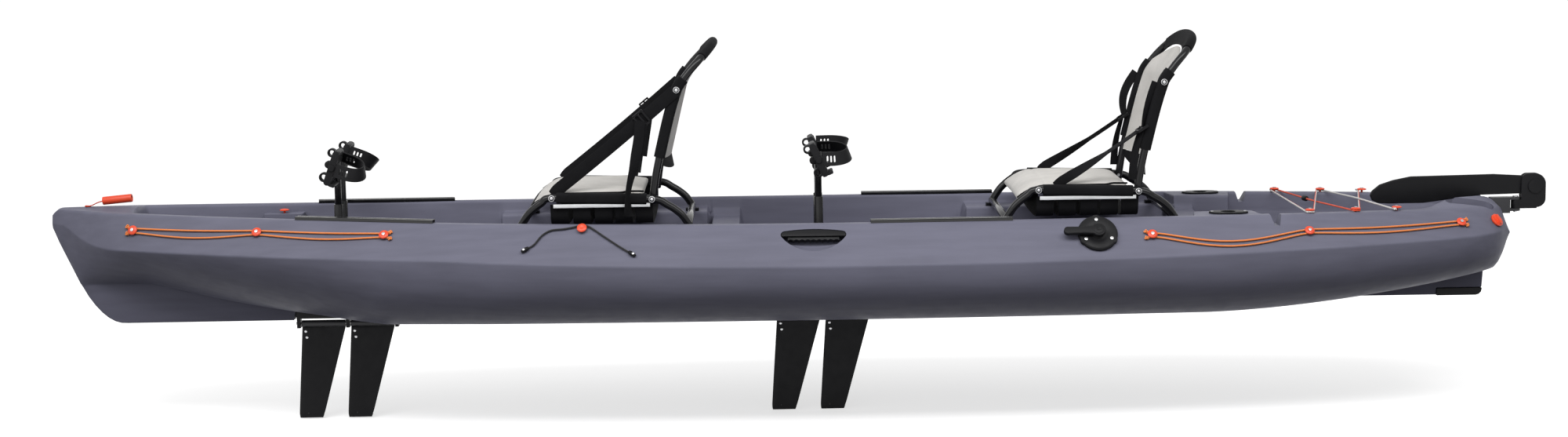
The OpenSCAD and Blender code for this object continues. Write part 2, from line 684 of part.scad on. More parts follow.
// Paddle holder: a cord over the knob with a toggle at each end; points are [x, t] on the panel
toggle_r = 6;
toggle_len = 26;
holder_route = [[-716, 0.4], [-700, 0.5], [-680, 0.72], [-655, 0.85], [-620, 0.89], [-590, 0.94],
    [-568, 0.985], [-546, 0.94], [-500, 0.68], [-460, 0.46], [-436, 0.34]];
function on_side(x, t, lift) =
    let (xs = x * stretch) panel_point(xs, t, left) + lift * panel_out(xs, t, left);
module paddle_holder() {
    color("black") {
        sweep([for (p = holder_route) on_side(p[0], p[1], cord_lift)], ring(cord_r, 8), [0, 0, 1]);
        for (end = [0, 1]) {
            p = holder_route[end == 0 ? 0 : len(holder_route) - 1];
            q = holder_route[end == 0 ? 1 : len(holder_route) - 2];
            a = on_side(p[0], p[1], toggle_r + gap);
            d = unit(a - on_side(q[0], q[1], toggle_r + gap));
            sweep([a + d * 1.5, a + d * toggle_len], ring(toggle_r, 8), [0, 0, 1]);
        }
    }
}

// Tank well bungee: one cord laced over the six rim pads, [pad, side] in order
lacing = [[2, right], [1, left], [0, right], [0, left], [1, right], [2, left]];
lace_off = cord_off + 0.6;
cross_lift = [-cord_r - 0.6, -cord_r - 0.6, 0, cord_r + 0.6, cord_r + 0.6];
function lace_x(i) = tank_pad_xs[lacing[i][0]];
function lace_pad(i) = rim_point(lace_x(i), lacing[i][1]) + [0, 0, cord_lift];
function lace_sign(i) = i == 0 ? 1 : lace_x(i - 1) > lace_x(i) ? 1 : -1;
function lace_turn(i) =
    let (c = lace_pad(i), out = [0, lacing[i][1], 0], along = [lace_sign(i), 0, 0])
    i == 0 ? [c + 18 * out - lace_off * along, c - lace_off * along]
    : i == len(lacing) - 1 ? [c + lace_off * along, c + 18 * out + lace_off * along]
    : [c + lace_off * along, c + 0.7 * lace_off * (along + out), c + lace_off * out,
        c + 0.7 * lace_off * (out - along), c - lace_off * along];
function lace_run(i) =
    let (a = lace_turn(i), p = a[len(a) - 1], q = lace_turn(i + 1)[0])
    [for (u = [0.25, 0.5, 0.75]) mix(p, q, u) + [0, 0, cross_lift[i] * (1 - abs(2 * u - 1))]];
module tank_bungee() {
    last = len(lacing) - 1;
    color("tomato") sweep([for (i = [0 : last]) each concat(lace_turn(i), i < last ? lace_run(i) : [])],
        ring(cord_r, 8), [0, 0, 1]);
}

// Screw heads on the pads, the lever base and the rod holders
screw_r = 5;
screw_h = 1.6;
screw_z = dome_low + dome_h + 0.1;
lever_t = 0.62;
lever_base_h = 12;
lever_screw_r = 42;
module screw() { cylinder(r = screw_r, h = screw_h, $fn = 12); }
module deck_screws() {
    color("silver") {
        for (side = sides) {
            for (i = [0 : pad_count - 1]) {
                on_panel(bow_x_at(i), bow_pad_t[i], side) translate([0, 0, screw_z]) screw();
                on_panel(stern_x_at(i), stern_pad_t[i], side) translate([0, 0, screw_z]) screw();
                translate(rim_point(tank_pad_xs[i], side) + [0, 0, screw_z]) screw();
            }
            for (e = sides) translate([rod_x + e * (flange_half + 13), rod_y(side),
                top_z(rod_x) + gap + flange_t + 0.1]) screw();
        }
        on_panel(lever_x, lever_t, left) for (a = [90, 210, 330]) rotate([0, 0, a])
            translate([lever_screw_r, 0, lever_base_h + 0.1]) screw();
    }
}

// Steering lever on the port panel, pointing forward
lever_pin_r = 8;
lever_hub_r = 20;
lever_low = lever_base_h + screw_h + 1;
lever_h = 14;
lever_w = 24;
module lever_base() {
    color("black") on_panel(lever_x, lever_t, left) {
        translate([0, 0, 2 * gap]) cylinder(r = lever_base_r, h = lever_base_h - 2 * gap, $fn = 12);
        translate([0, 0, 2 * gap]) cylinder(r = lever_hub_r - 4, h = lever_low - 3 * gap, $fn = 12);
        translate([0, 0, lever_base_h - 1])
            cylinder(r = lever_pin_r, h = lever_low - lever_base_h + lever_h + 1);
    }
}
module steering_lever() {
    color("black") on_panel(lever_x, lever_t, left) translate([0, 0, lever_low]) difference() {
        union() {
            cylinder(r = lever_hub_r, h = lever_h);
            translate([-lever_len + lever_w / 2, -lever_w / 2, 0])
                cube([lever_len - lever_w / 2, lever_w, lever_h]);
            translate([-lever_len + lever_w / 2, 0, 0]) cylinder(r = lever_w / 2, h = lever_h);
        }
        translate([0, 0, -1]) cylinder(r = lever_pin_r + fit, h = lever_h + 2);
    }
}

// Rudder: bracket, pin, swinging housing and flip-up blade
pin_x = stern_x + pin_gap;
pivot_x = pin_x + blade_offset;
knuckle_low = 270;
knuckle_high = 296;
knuckle_r = 13;
lug_t = 7;
bracket_w = 32;
cheek_t = 7;
cheek_in = blade_t / 2 + gap;
web_aft = -36;
rudder_bolt_r = 6;
rudder_disc_r = 21;
rudder_disc_h = 4;
module rudder_bracket() {
    base = channel_h + channel_crown + gap;
    lug_r = knuckle_r + 1;
    lugs = [knuckle_low - gap - lug_t, knuckle_high + gap];
    color("dimgray") difference() {
        union() {
            translate([stern_x - 105, -20, base]) cube([75, 40, 6]);
            translate([stern_x - 55, -bracket_w / 2, base])
                cube([55 + pin_gap - knuckle_r - 6, bracket_w, knuckle_high + gap + lug_t - base]);
            for (z = lugs) translate([0, 0, z]) {
                translate([pin_x, 0, 0]) cylinder(r = lug_r, h = lug_t);
                translate([pin_x - 26, -lug_r, 0]) cube([26, 2 * lug_r, lug_t]);
            }
        }
        translate([pin_x, 0, 0]) cylinder(r = rudder_pin_r + fit, h = 500);
    }
}
module rudder_pin() {
    low = knuckle_low - gap - lug_t;
    color("silver") translate([pin_x, 0, 0]) {
        translate([0, 0, low - 4]) cylinder(r = rudder_pin_r, h = knuckle_high + lug_t - low + 5);
        translate([0, 0, knuckle_high + lug_t + 2 * gap]) cylinder(r = rudder_pin_r + 3, h = 3.5);
    }
}
module cheek_plate() {
    r = 20;
    rotate([90, 0, 0]) linear_extrude(cheek_t, center = true) hull() {
        for (p = [[32 - r, 37 - r], [32 - r, knuckle_low - blade_pivot_h + r], [web_aft - 4 + r, 37 - r]])
            translate(p) circle(r = r, $fn = 32);
        translate([web_aft - 4 + 2, knuckle_low - blade_pivot_h + 2]) circle(r = 2, $fn = 32);
    }
}
module rudder_housing() {
    web_w = 2 * (cheek_in + cheek_t);
    color("black") difference() {
        union() {
            translate([pivot_x, 0, blade_pivot_h]) for (side = sides)
                translate([0, side * (cheek_in + cheek_t / 2), 0]) cheek_plate();
            translate([pin_x, -web_w / 2, knuckle_low])
                cube([blade_offset + web_aft, web_w, knuckle_high - knuckle_low]);
            translate([pin_x, 0, knuckle_low]) cylinder(r = knuckle_r, h = knuckle_high - knuckle_low);
        }
        translate([pin_x, 0, 0]) cylinder(r = rudder_pin_r + fit, h = 500);
        translate([pivot_x, 0, blade_pivot_h]) rotate([90, 0, 0])
            cylinder(r = rudder_bolt_r + fit, h = 100, center = true);
    }
}
module rudder_bolt() {
    half = cheek_in + cheek_t;
    color("black") translate([pivot_x, 0, blade_pivot_h]) rotate([90, 0, 0]) {
        cylinder(r = rudder_bolt_r, h = 2 * half + 2, center = true);
        for (side = sides) translate([0, 0, side * (half + gap + rudder_disc_h / 2)])
            cylinder(r = rudder_disc_r, h = rudder_disc_h, center = true);
    }
}
module rudder_blade() {
    up = 0.45 * blade_depth;
    down = 0.58 * blade_depth;
    tip = -blade_len;
    color("black") translate([pivot_x, 0, blade_pivot_h]) rotate([90, 0, 0]) difference() {
        linear_extrude(blade_t, center = true)
            polygon([[18, up - 10], [-40, up - 5], [-120, up], [tip + 120, up - 3], [tip + 68, up - 13],
                [tip + 28, up - 26], [tip + 6, -8], [tip, -20], [tip + 6, -36], [tip + 24, -down + 2],
                [tip + 56, -down], [tip + 156, -down], [-155, -25], [-40, -23], [10, -23], [22, -10],
                [24, 12]]);
        cylinder(r = rudder_bolt_r + fit, h = 100, center = true);
    }
}

// Pedal drives: crank shaft, cranks with sleeves, posts, pedals, masts and fins
crank_z = floor_h + crank_rise;
axle_z = crank_z + crank_len;
hub_r = 22;
hub_w = 28;
spine_half = 24;
spine_fore = -139;
spine_aft = 164;
plate_t = 7;
hump_r = 28;
fin_axis_z = -12;
drum_r = 10;
lug_w = 28;
lug_len = 10;
fin_gap = 3;
fore_lug = -140;
mid_lug = fore_lug + lug_len + fin_root + 2 * fin_gap;
aft_lug = mid_lug + lug_len + fin_root + 2 * fin_gap;
fore_fin_x = fore_lug + lug_len + fin_gap;
aft_fin_x = mid_lug + lug_len + fin_gap;
mast_in = 9;
module across(x, z) { translate([x, 0, z]) rotate([90, 0, 0]) children(); }
module along(x, z) { translate([x, 0, z]) rotate([0, 90, 0]) children(); }

module drive_housing(x) {
    flange = [well_len + 40, well_w + 44];
    color("dimgray") difference() {
        union() {
            translate([x + spine_fore, -spine_half, 6])
                cube([spine_aft - spine_fore, 2 * spine_half, floor_h]);
            translate([x + well_shift - flange[0] / 2, -flange[1] / 2, floor_h + gap])
                cube([flange[0], flange[1], plate_t]);
            across(x, crank_z) cylinder(r = hump_r, h = 2 * spine_half, center = true);
            translate([x - hump_r, -spine_half, floor_h]) cube([2 * hump_r, 2 * spine_half, crank_rise]);
            for (l = [fore_lug, mid_lug, aft_lug]) translate([x + l, -lug_w / 2, fin_axis_z - 12])
                cube([lug_len, lug_w, 30 - fin_axis_z]);
        }
        across(x, crank_z) cylinder(r = shaft_r + fit, h = 200, center = true);
        along(x - 200, fin_axis_z) cylinder(r = mast_r + fit, h = 400);
    }
}
module crank_shafts() {
    out = crank_y + hub_w / 2;
    color("silver") for (x = drive_xs) across(x, crank_z) {
        cylinder(r = shaft_r, h = 2 * out + 2, center = true);
        for (side = sides) translate([0, 0, side * (out + 2 * gap + 2)])
            cylinder(r = shaft_r + 5, h = 4, center = true);
    }
}
module fin_shafts() {
    color("silver") for (x = drive_xs) along(x + fore_lug - 4, fin_axis_z)
        cylinder(r = mast_r, h = aft_lug - fore_lug + lug_len + 8);
}
sleeve_top = crank_z + 194;
sleeve_low = crank_z + 44;
module crank(x, side) {
    color("black") translate([x, side * crank_y, 0]) difference() {
        union() {
            translate([0, 0, crank_z]) rotate([90, 0, 0]) cylinder(r = hub_r, h = hub_w, center = true);
            translate([0, 0, crank_z]) cylinder(r = sleeve_r, h = sleeve_top - crank_z);
        }
        translate([0, 0, crank_z]) rotate([90, 0, 0]) cylinder(r = shaft_r + fit, h = 100, center = true);
        translate([0, 0, sleeve_low]) cylinder(r = post_r + fit, h = 400);
    }
}
post_low = sleeve_low + 40;
axle_r = 6;
pedal_gap = 5;
pedal_in = crank_y + post_r + pedal_gap;
module post(x, side) {
    color("black") {
        translate([x, side * crank_y, post_low]) cylinder(r = post_r, h = axle_z - post_low + 14);
        translate([x, side * crank_y, axle_z]) rotate([-side * 90, 0, 0])
            cylinder(r = axle_r, h = post_r + pedal_gap + pedal_w + 4);
    }
}
pedal_t = 20;
pedal_rim = 12;
function pedal_turn(x) = x == front_drive_x ? front_lean : -rear_lean;
module pedal_frame(x, side) {
    translate([x, side * (pedal_in + pedal_w / 2), axle_z]) rotate([0, pedal_turn(x), 0]) children();
}
// Strap guides on the fore face of a pedal: [height, outer radius, bore radius]
guide_w = 22;
guides = [[38, 13, 7.5], [2, 11, 0], [-37, 14, 8]];
module pedal_guides() {
    for (g = guides) translate([-pedal_t / 2 - g[1] / 2, 0, g[0]]) rotate([90, 0, 0]) difference() {
        cylinder(r = g[1], h = guide_w, center = true);
        if (g[2] > 0) cylinder(r = g[2], h = guide_w + 2, center = true);
    }
}
module pedal(x, side) {
    color("black") pedal_frame(x, side) difference() {
        union() {
            cube([pedal_t, pedal_w, pedal_h], center = true);
            translate([pedal_t / 2 + 6, 0, 4 - pedal_h / 2]) cube([16, pedal_w, 8], center = true);
            pedal_guides();
        }
        for (e = sides) translate([0, 0, e * (pedal_h / 4 + 2)])
            cube([pedal_t + 2, pedal_w - 2 * pedal_rim, pedal_h / 2 - 2 * pedal_rim - 8], center = true);
        rotate([90, 0, 0]) cylinder(r = axle_r + fit, h = 200, center = true);
    }
}
foot_skew = 16;
foot_strap_w = 40;
foot_strap_t = 4;
module foot_strap(x, side) {
    y = pedal_w / 2 - foot_strap_t;
    start = pedal_t / 2 + gap;
    color("black") pedal_frame(x, side) translate([0, 0, 14])
        sweep(concat([[start, -y, side * foot_skew]], [for (a = [0 : 20 : 180])
            [start + foot_reach * (0.35 + 0.65 * sin(a)), -y * cos(a), side * foot_skew * cos(a)]],
            [[start, y, -side * foot_skew]]), ribbon(foot_strap_w, foot_strap_t), [0, 0, 1]);
}
module mast(x, fin_x) {
    color("dimgray") difference() {
        union() {
            along(x + fin_x, fin_axis_z) cylinder(r = drum_r, h = fin_root);
            translate([x + fin_x + mast_in, 0, fin_axis_z - drum_r - fin_h + 12])
                cylinder(r = mast_r, h = fin_h + drum_r - 18);
        }
        along(x - 200, fin_axis_z) cylinder(r = mast_r + fit, h = 400);
    }
}
fin_rake = 18;
function fin_ring(x, z, chord) =
    [for (p = [[0, 0], [0.07, -0.5], [0.35, -0.42], [1, -0.1], [1, 0.1], [0.35, 0.42], [0.07, 0.5]])
        [x + p[0] * chord, p[1] * fin_t, z]];
module fin(x, fin_x) {
    top = fin_axis_z - drum_r - gap;
    rings = [fin_ring(x + fin_x, top, fin_root),
        fin_ring(x + fin_x - fin_rake, top - fin_h + 12, fin_tip + 4),
        fin_ring(x + fin_x - fin_rake + 5, top - fin_h, fin_tip - 12)];
    n = len(rings[0]);
    color("black") difference() {
        polyhedron([for (r = rings) each r], concat(
            [for (r = [0 : 1], i = [0 : n - 1], t = [0, 1])
                let (j = (i + 1) % n, a = r * n + i, b = r * n + j)
                t == 0 ? [a, a + n, b] : [b, a + n, b + n]],
            [for (i = [1 : n - 2]) [0, i, i + 1]],
            [for (i = [1 : n - 2]) [2 * n, 2 * n + i + 1, 2 * n + i]]));
        translate([x + fin_x + mast_in, 0, fin_axis_z - drum_r - fin_h + 10])
            cylinder(r = mast_r + fit, h = fin_h + 10);
    }
}
module front_drive_housing() { drive_housing(front_drive_x); }
module rear_drive_housing() { drive_housing(rear_drive_x); }
module front_crank_left() { crank(front_drive_x, left); }
module front_crank_right() { crank(front_drive_x, right); }
module rear_crank_left() { crank(rear_drive_x, left); }
module rear_crank_right() { crank(rear_drive_x, right); }
module front_post_left() { post(front_drive_x, left); }
module front_post_right() { post(front_drive_x, right); }
module rear_post_left() { post(rear_drive_x, left); }
module rear_post_right() { post(rear_drive_x, right); }
module front_pedal_left() { pedal(front_drive_x, left); }
module front_pedal_right() { pedal(front_drive_x, right); }
module rear_pedal_left() { pedal(rear_drive_x, left); }
module rear_pedal_right() { pedal(rear_drive_x, right); }
module front_foot_strap_left() { foot_strap(front_drive_x, left); }
module front_foot_strap_right() { foot_strap(front_drive_x, right); }
module rear_foot_strap_left() { foot_strap(rear_drive_x, left); }
module rear_foot_strap_right() { foot_strap(rear_drive_x, right); }
module front_fore_mast() { mast(front_drive_x, fore_fin_x); }
module front_aft_mast() { mast(front_drive_x, aft_fin_x); }
module rear_fore_mast() { mast(rear_drive_x, fore_fin_x); }
module rear_aft_mast() { mast(rear_drive_x, aft_fin_x); }
module front_fore_fin() { fin(front_drive_x, fore_fin_x); }
module front_aft_fin() { fin(front_drive_x, aft_fin_x); }
module rear_fore_fin() { fin(rear_drive_x, fore_fin_x); }
module rear_aft_fin() { fin(rear_drive_x, aft_fin_x); }

// Framed seats: x is the front bolt
seat_xs = [front_seat_x, rear_seat_x];
back_half = seat_half - back_inset;
foot_pad_h = 5;
foot_tube_z = bench_h + gap + foot_pad_h + tube_r;
pivot_drop = 7;
pivot_z = seat_h - pivot_drop;
front_foot = -92;
rear_foot = seat_len + 103;
module seat_base(x) {
    z = foot_tube_z;
    side_path = spline([[front_foot, z], [-66, z + 38], [-30, seat_h - 14], [0, seat_h],
        [seat_len / 2, mix(seat_h, pivot_z, 0.5)], [seat_len, pivot_z], [seat_len + 45, pivot_z - 18],
        [seat_len + 82, z + 30], [rear_foot, z]], 3);
    color("black") difference() {
        union() {
            for (side = sides)
                sweep([for (p = side_path) [x + p[0], side * seat_half, p[1]]], ring(tube_r, 8), [0, 1, 0]);
            for (f = [front_foot, rear_foot])
                sweep([[x + f, -seat_half, z], [x + f, seat_half, z]], ring(tube_r, 8), [0, 0, 1]);
            for (f = [front_foot, rear_foot], side = sides)
                translate([x + f - 20, side * seat_half - 14, bench_h + gap])
                    cube([40, 28, foot_pad_h + 4]);
        }
        for (p = [[0, seat_h], [seat_len, pivot_z]])
            across(x + p[0], p[1]) cylinder(r = bolt_r + fit, h = 3 * seat_half, center = true);
    }
}
rail_bar_h = 11;
rail_bar_t = 5;
module seat_rails() {
    color("silver") for (x = seat_xs, side = sides)
        translate([x + 4, side * seat_half - rail_bar_t / 2, pivot_z - tube_r - gap - rail_bar_h])
            cube([seat_len - 10, rail_bar_t, rail_bar_h]);
}
bolt_head_r = 9;
bolt_head_h = 4;
module seat_bolts() {
    inner = [seat_half - tube_r, back_half - tube_r - 4];
    places = [[0, seat_h], [seat_len, pivot_z]];
    color("silver") for (x = seat_xs, side = sides, i = [0, 1]) {
        out = seat_half + tube_r;
        translate([x + places[i][0], side * inner[i], places[i][1]]) rotate([-side * 90, 0, 0])
            cylinder(r = bolt_r, h = out - inner[i] + 1);
        translate([x + places[i][0], side * (out + gap), places[i][1]]) rotate([-side * 90, 0, 0])
            cylinder(r = bolt_head_r, h = bolt_head_h);
    }
}

// Faces of a slab with two grids of points, n by m cells
function turned(f, flip) = flip ? [f[0], f[2], f[1]] : f;
function slab_faces(n, m) =
    let (w = m + 1, top = (n + 1) * w)
    concat(
        [for (i = [0 : n - 1], j = [0 : m - 1], k = [0, 1], t = [0, 1]) let (a = k * top + i * w + j)
            turned(t == 0 ? [a, a + w, a + 1] : [a + 1, a + w, a + w + 1], k == 1)],
        [for (i = [0 : n - 1], e = [0, m], t = [0, 1]) let (a = i * w + e, b = a + w)
            turned(t == 0 ? [a, a + top, b] : [b, a + top, b + top], e > 0)],
        [for (j = [0 : m - 1], e = [0, n], t = [0, 1]) let (a = e * w + j, b = a + 1)
            turned(t == 0 ? [a, b, a + top] : [b, b + top, a + top], e > 0)]);

// Seat pan: a crowned sling between the rails, its rear corners cut round the back frame
pan_nx = 12;
pan_ny = 12;
pan_fore = -34;
pan_aft = seat_len - 26;
pan_low = -7;
pan_edge = 9;
pan_notch = 72;
function pan_half(x) = x > seat_len - pan_notch ? back_half - tube_r - 3 : seat_half - tube_r - gap;
function pan_droop(x) = 34 * clamp((28 - x) / 62, 0, 1) ^ 2;
function pan_point(x0, i, j, top) =
    let (u = i / pan_nx, v = 2 * j / pan_ny - 1, x = mix(pan_fore, pan_aft, u),
        crown = pan_crown * (1 - v ^ 4) * (1 - (2 * u - 1) ^ 6),
        z = top == 1 ? pan_edge + crown : pan_low)
    [x0 + x, v * pan_half(x), seat_h + z - pan_droop(x) * (top == 1 ? 1 : 0.55)];
module seat_pan(x0) {
    points = [for (top = [0, 1], i = [0 : pan_nx], j = [0 : pan_ny]) pan_point(x0, i, j, top)];
    color("tan") polyhedron(points, slab_faces(pan_nx, pan_ny), convexity = 4);
}

// Seat back: an arched tube and a slung panel, hinged at the rear bolts; [x, z] from the pivot
front_web_top = 308;
function back_line(z) = curve([[-14, 0], [0, 0], [130, 26], [308, 75], [350, 105], [back_h, 178]], z);
module seat_back_frame(x) {
    half_path = [for (p = [[-14, 1], [60, 1], [130, 1], [220, 1], [300, 1], [back_h - 80, 0.985],
        [back_h - 38, 0.88], [back_h - 9, 0.56]]) [p[1] * back_half, p[0]]];
    n = len(half_path) - 1;
    pts = concat([for (i = [0 : n]) half_path[i]], [[0, back_h]],
        [for (i = [n : -1 : 0]) [-half_path[i][0], half_path[i][1]]]);
    color("black") difference() {
        sweep(spline([for (p = pts) [x + seat_len + back_line(p[1]), p[0], pivot_z + p[1]]], 2),
            ring(tube_r, 8), [1, 0, 0]);
        across(x + seat_len, pivot_z) cylinder(r = bolt_r + fit, h = 3 * seat_half, center = true);
    }
}
back_nz = 10;
back_ny = 8;
back_low = 96;
back_top = 368;
back_round = 15;
back_sag = 20;
back_t = 7;
function panel_half(z) = back_half - tube_r - gap - back_round * clamp((z - 300) / 68, 0, 1) ^ 2;
function back_point(x, i, j, side) =
    let (z = mix(back_low, back_top, i / back_nz), v = 2 * j / back_ny - 1)
    [x + seat_len + back_line(z) + back_sag * (1 - v ^ 2) + side * back_t / 2, v * panel_half(z),
        pivot_z + z];
module seat_back(x) {
    points = [for (s = [-1, 1], i = [0 : back_nz], j = [0 : back_ny]) back_point(x, i, j, s)];
    color("tan") polyhedron(points, slab_faces(back_nz, back_ny), convexity = 4);
}

// Side webbing from the front of the seat up to its back, over low_x and up to top_z above the pivot
web_t = 2.5;
strap_y = back_half + tube_r + gap + web_t / 2;
module seat_straps(x, low_x, top_z) {
    top = [seat_len + back_line(top_z) - 4, pivot_z + top_z - 4];
    low = [low_x, seat_h + tube_r + web_w / 2];
    color("black") for (side = sides)
        sweep([for (p = [low, mix(low, top, 0.5), top]) [x + p[0], side * strap_y, p[1]]],
            ribbon(web_t, web_w), [0, 1, 0]);
}
module front_seat_base() { seat_base(front_seat_x); }
module rear_seat_base() { seat_base(rear_seat_x); }
module front_seat_pan() { seat_pan(front_seat_x); }
module rear_seat_pan() { seat_pan(rear_seat_x); }
module front_seat_back_frame() { seat_back_frame(front_seat_x); }
module rear_seat_back_frame() { seat_back_frame(rear_seat_x); }
module front_seat_back() { seat_back(front_seat_x); }
module rear_seat_back() { seat_back(rear_seat_x); }
module front_seat_straps() { seat_straps(front_seat_x, 6, front_web_top); }
module rear_seat_straps() { seat_straps(rear_seat_x, 56, rear_web_top); }

hull_shell();
skid_plate();
bow_handle();
bow_strap();
drain_plug();
gear_rails();
rod_holders();
side_grips();
bungee_pads();
side_bungees();
paddle_holder();
tank_bungee();
deck_screws();
lever_base();
steering_lever();
rudder_bracket();
rudder_pin();
rudder_housing();
rudder_bolt();
rudder_blade();
crank_shafts();
fin_shafts();
front_drive_housing();
front_crank_left();
front_crank_right();
front_post_left();
front_post_right();
front_pedal_left();
front_pedal_right();
front_foot_strap_left();
front_foot_strap_right();
front_fore_mast();
front_aft_mast();
front_fore_fin();
front_aft_fin();
rear_drive_housing();
rear_crank_left();
rear_crank_right();
rear_post_left();
rear_post_right();
rear_pedal_left();
rear_pedal_right();
rear_foot_strap_left();
rear_foot_strap_right();
rear_fore_mast();
rear_aft_mast();
rear_fore_fin();
rear_aft_fin();
front_seat_base();
front_seat_pan();
front_seat_back_frame();
front_seat_back();
front_seat_straps();
rear_seat_base();
rear_seat_pan();
rear_seat_back_frame();
rear_seat_back();
rear_seat_straps();
seat_rails();
seat_bolts();
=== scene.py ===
"""Looks of the tandem pedal kayak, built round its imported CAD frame. Lengths are in mm until mesh_of()."""
import json
from math import asin, copysign, cos, degrees, dist, exp, pi, radians, sin, tan

import bmesh
import bpy
import numpy as np
from mathutils import Matrix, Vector
from numpy import linspace

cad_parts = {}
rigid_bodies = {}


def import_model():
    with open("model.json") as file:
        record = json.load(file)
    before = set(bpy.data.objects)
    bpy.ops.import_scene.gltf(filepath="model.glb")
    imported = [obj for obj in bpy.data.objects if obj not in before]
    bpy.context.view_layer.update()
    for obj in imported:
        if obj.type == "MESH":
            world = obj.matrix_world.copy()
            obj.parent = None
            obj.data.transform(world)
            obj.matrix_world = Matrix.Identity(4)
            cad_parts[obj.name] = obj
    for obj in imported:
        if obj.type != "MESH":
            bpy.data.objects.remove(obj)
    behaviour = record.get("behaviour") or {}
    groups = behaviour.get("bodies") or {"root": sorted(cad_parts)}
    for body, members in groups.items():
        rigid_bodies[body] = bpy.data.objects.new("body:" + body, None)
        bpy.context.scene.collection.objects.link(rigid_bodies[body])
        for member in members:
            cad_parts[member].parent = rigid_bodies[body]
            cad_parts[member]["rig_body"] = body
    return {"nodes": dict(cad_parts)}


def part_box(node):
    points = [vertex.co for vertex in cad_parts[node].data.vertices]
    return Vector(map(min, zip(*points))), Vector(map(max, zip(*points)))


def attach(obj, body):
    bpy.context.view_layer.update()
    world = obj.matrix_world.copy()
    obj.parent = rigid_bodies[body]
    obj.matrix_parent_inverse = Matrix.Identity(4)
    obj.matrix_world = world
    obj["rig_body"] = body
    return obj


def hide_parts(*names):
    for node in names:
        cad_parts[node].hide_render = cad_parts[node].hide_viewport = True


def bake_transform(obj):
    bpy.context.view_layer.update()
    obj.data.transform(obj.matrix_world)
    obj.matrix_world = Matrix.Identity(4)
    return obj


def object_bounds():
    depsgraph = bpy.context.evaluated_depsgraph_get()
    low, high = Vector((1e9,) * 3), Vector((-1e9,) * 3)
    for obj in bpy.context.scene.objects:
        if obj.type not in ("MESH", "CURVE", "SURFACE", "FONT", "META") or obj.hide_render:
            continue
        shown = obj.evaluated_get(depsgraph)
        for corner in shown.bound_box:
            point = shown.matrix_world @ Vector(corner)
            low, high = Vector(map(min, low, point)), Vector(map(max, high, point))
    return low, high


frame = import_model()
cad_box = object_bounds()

MM = 0.001
LEFT, RIGHT = -1, 1
SIDES = (LEFT, RIGHT)
X_AXIS, Y_AXIS, Z_AXIS = np.eye(3)
norm = np.linalg.norm
scene = bpy.context.scene


# Materials

MAT = {}
BLACK = (0.007, 0.007, 0.008)
WHITE = (1, 1, 1, 1)


class Nodes:
    """Short calls that add nodes to a tree."""

    def __init__(self, tree):
        self.tree = tree

    def give(self, socket, value):
        if isinstance(value, bpy.types.NodeSocket):
            self.tree.links.new(value, socket)
        else:
            socket.default_value = value

    def node(self, kind, **inputs):
        n = self.tree.nodes.new("ShaderNode" + kind)
        for key, value in inputs.items():
            self.give(n.inputs[key.replace("_", " ")], value)
        return n

    def math(self, operation, a, b=0.0, c=0.0, clamped=False):
        n = self.node("Math")
        n.operation, n.use_clamp = operation, clamped
        for socket, value in zip(n.inputs, (a, b, c)):
            self.give(socket, value)
        return n.outputs[0]

    def spread(self, value, to_low, to_high, low=0.3, high=0.7):
        """Value from low to high, the usual reach of a noise, drawn out to another range."""
        return self.node("MapRange", Value=value, From_Min=low, From_Max=high, To_Min=to_low,
                         To_Max=to_high).outputs[0]

    def colours(self, fac, a, b):
        n = self.node("Mix")
        n.data_type = "RGBA"
        for key, value in (("Factor", fac), ("A", a), ("B", b)):
            self.give(n.inputs[key], value)
        return n.outputs["Result"]

    def seen(self):
        """One for rays from the camera, from gloss and through glass, none for light on the object."""
        rays = self.node("LightPath").outputs
        total = self.math("ADD", rays["Is Camera Ray"], rays["Is Glossy Ray"], clamped=True)
        return self.math("ADD", total, rays["Is Transmission Ray"], clamped=True)


class Shader(Nodes):
    """A material with one Principled shader, kept in MAT under its name."""

    def __init__(self, name, color, rough, metallic=0.0, specular=0.5, sheen=0.0):
        mat = MAT[name] = bpy.data.materials.new(name)
        mat.use_nodes = True
        super().__init__(mat.node_tree)
        self.inputs = self.tree.nodes["Principled BSDF"].inputs
        self.color = color
        for key, value in (("Base Color", (*color, 1)), ("Roughness", rough), ("Metallic", metallic),
                           ("Specular IOR Level", specular), ("Sheen Weight", sheen),
                           ("Sheen Roughness", 0.5)):
            self.set(key, value)

    def set(self, key, value):
        self.give(self.inputs[key], value)

    def noise(self, scale, detail=3.0, rough=0.55, stretch=None):
        place = self.node("TexCoord").outputs["Object"]
        if stretch:
            place = self.node("Mapping", Vector=place, Scale=stretch).outputs[0]
        n = self.node("TexNoise", Vector=place, Scale=scale, Detail=detail, Roughness=rough)
        return n.outputs["Fac"]

    def tint(self, fac, dark, light):
        """Colour that runs from dark to light times the base colour."""
        return self.colours(fac, *[(*[min(1, v * k) for v in self.color], 1) for k in (dark, light)])

    def bump(self, height, strength, distance):
        n = self.node("Bump", Strength=strength, Distance=distance, Height=height)
        self.set("Normal", n.outputs[0])

    def uv(self):
        n = self.node("SeparateXYZ", Vector=self.node("TexCoord").outputs["UV"])
        return n.outputs["X"], n.outputs["Y"]

    def crossed(self, u, v, pitch):
        """Threads that cross, from the piece's UV, which is in metres."""
        a, b = [self.math("SINE", self.math("MULTIPLY", q, 2 * pi / pitch)) for q in (u, v)]
        return self.math("MULTIPLY_ADD", self.math("MULTIPLY", a, b), 0.5, 0.5)


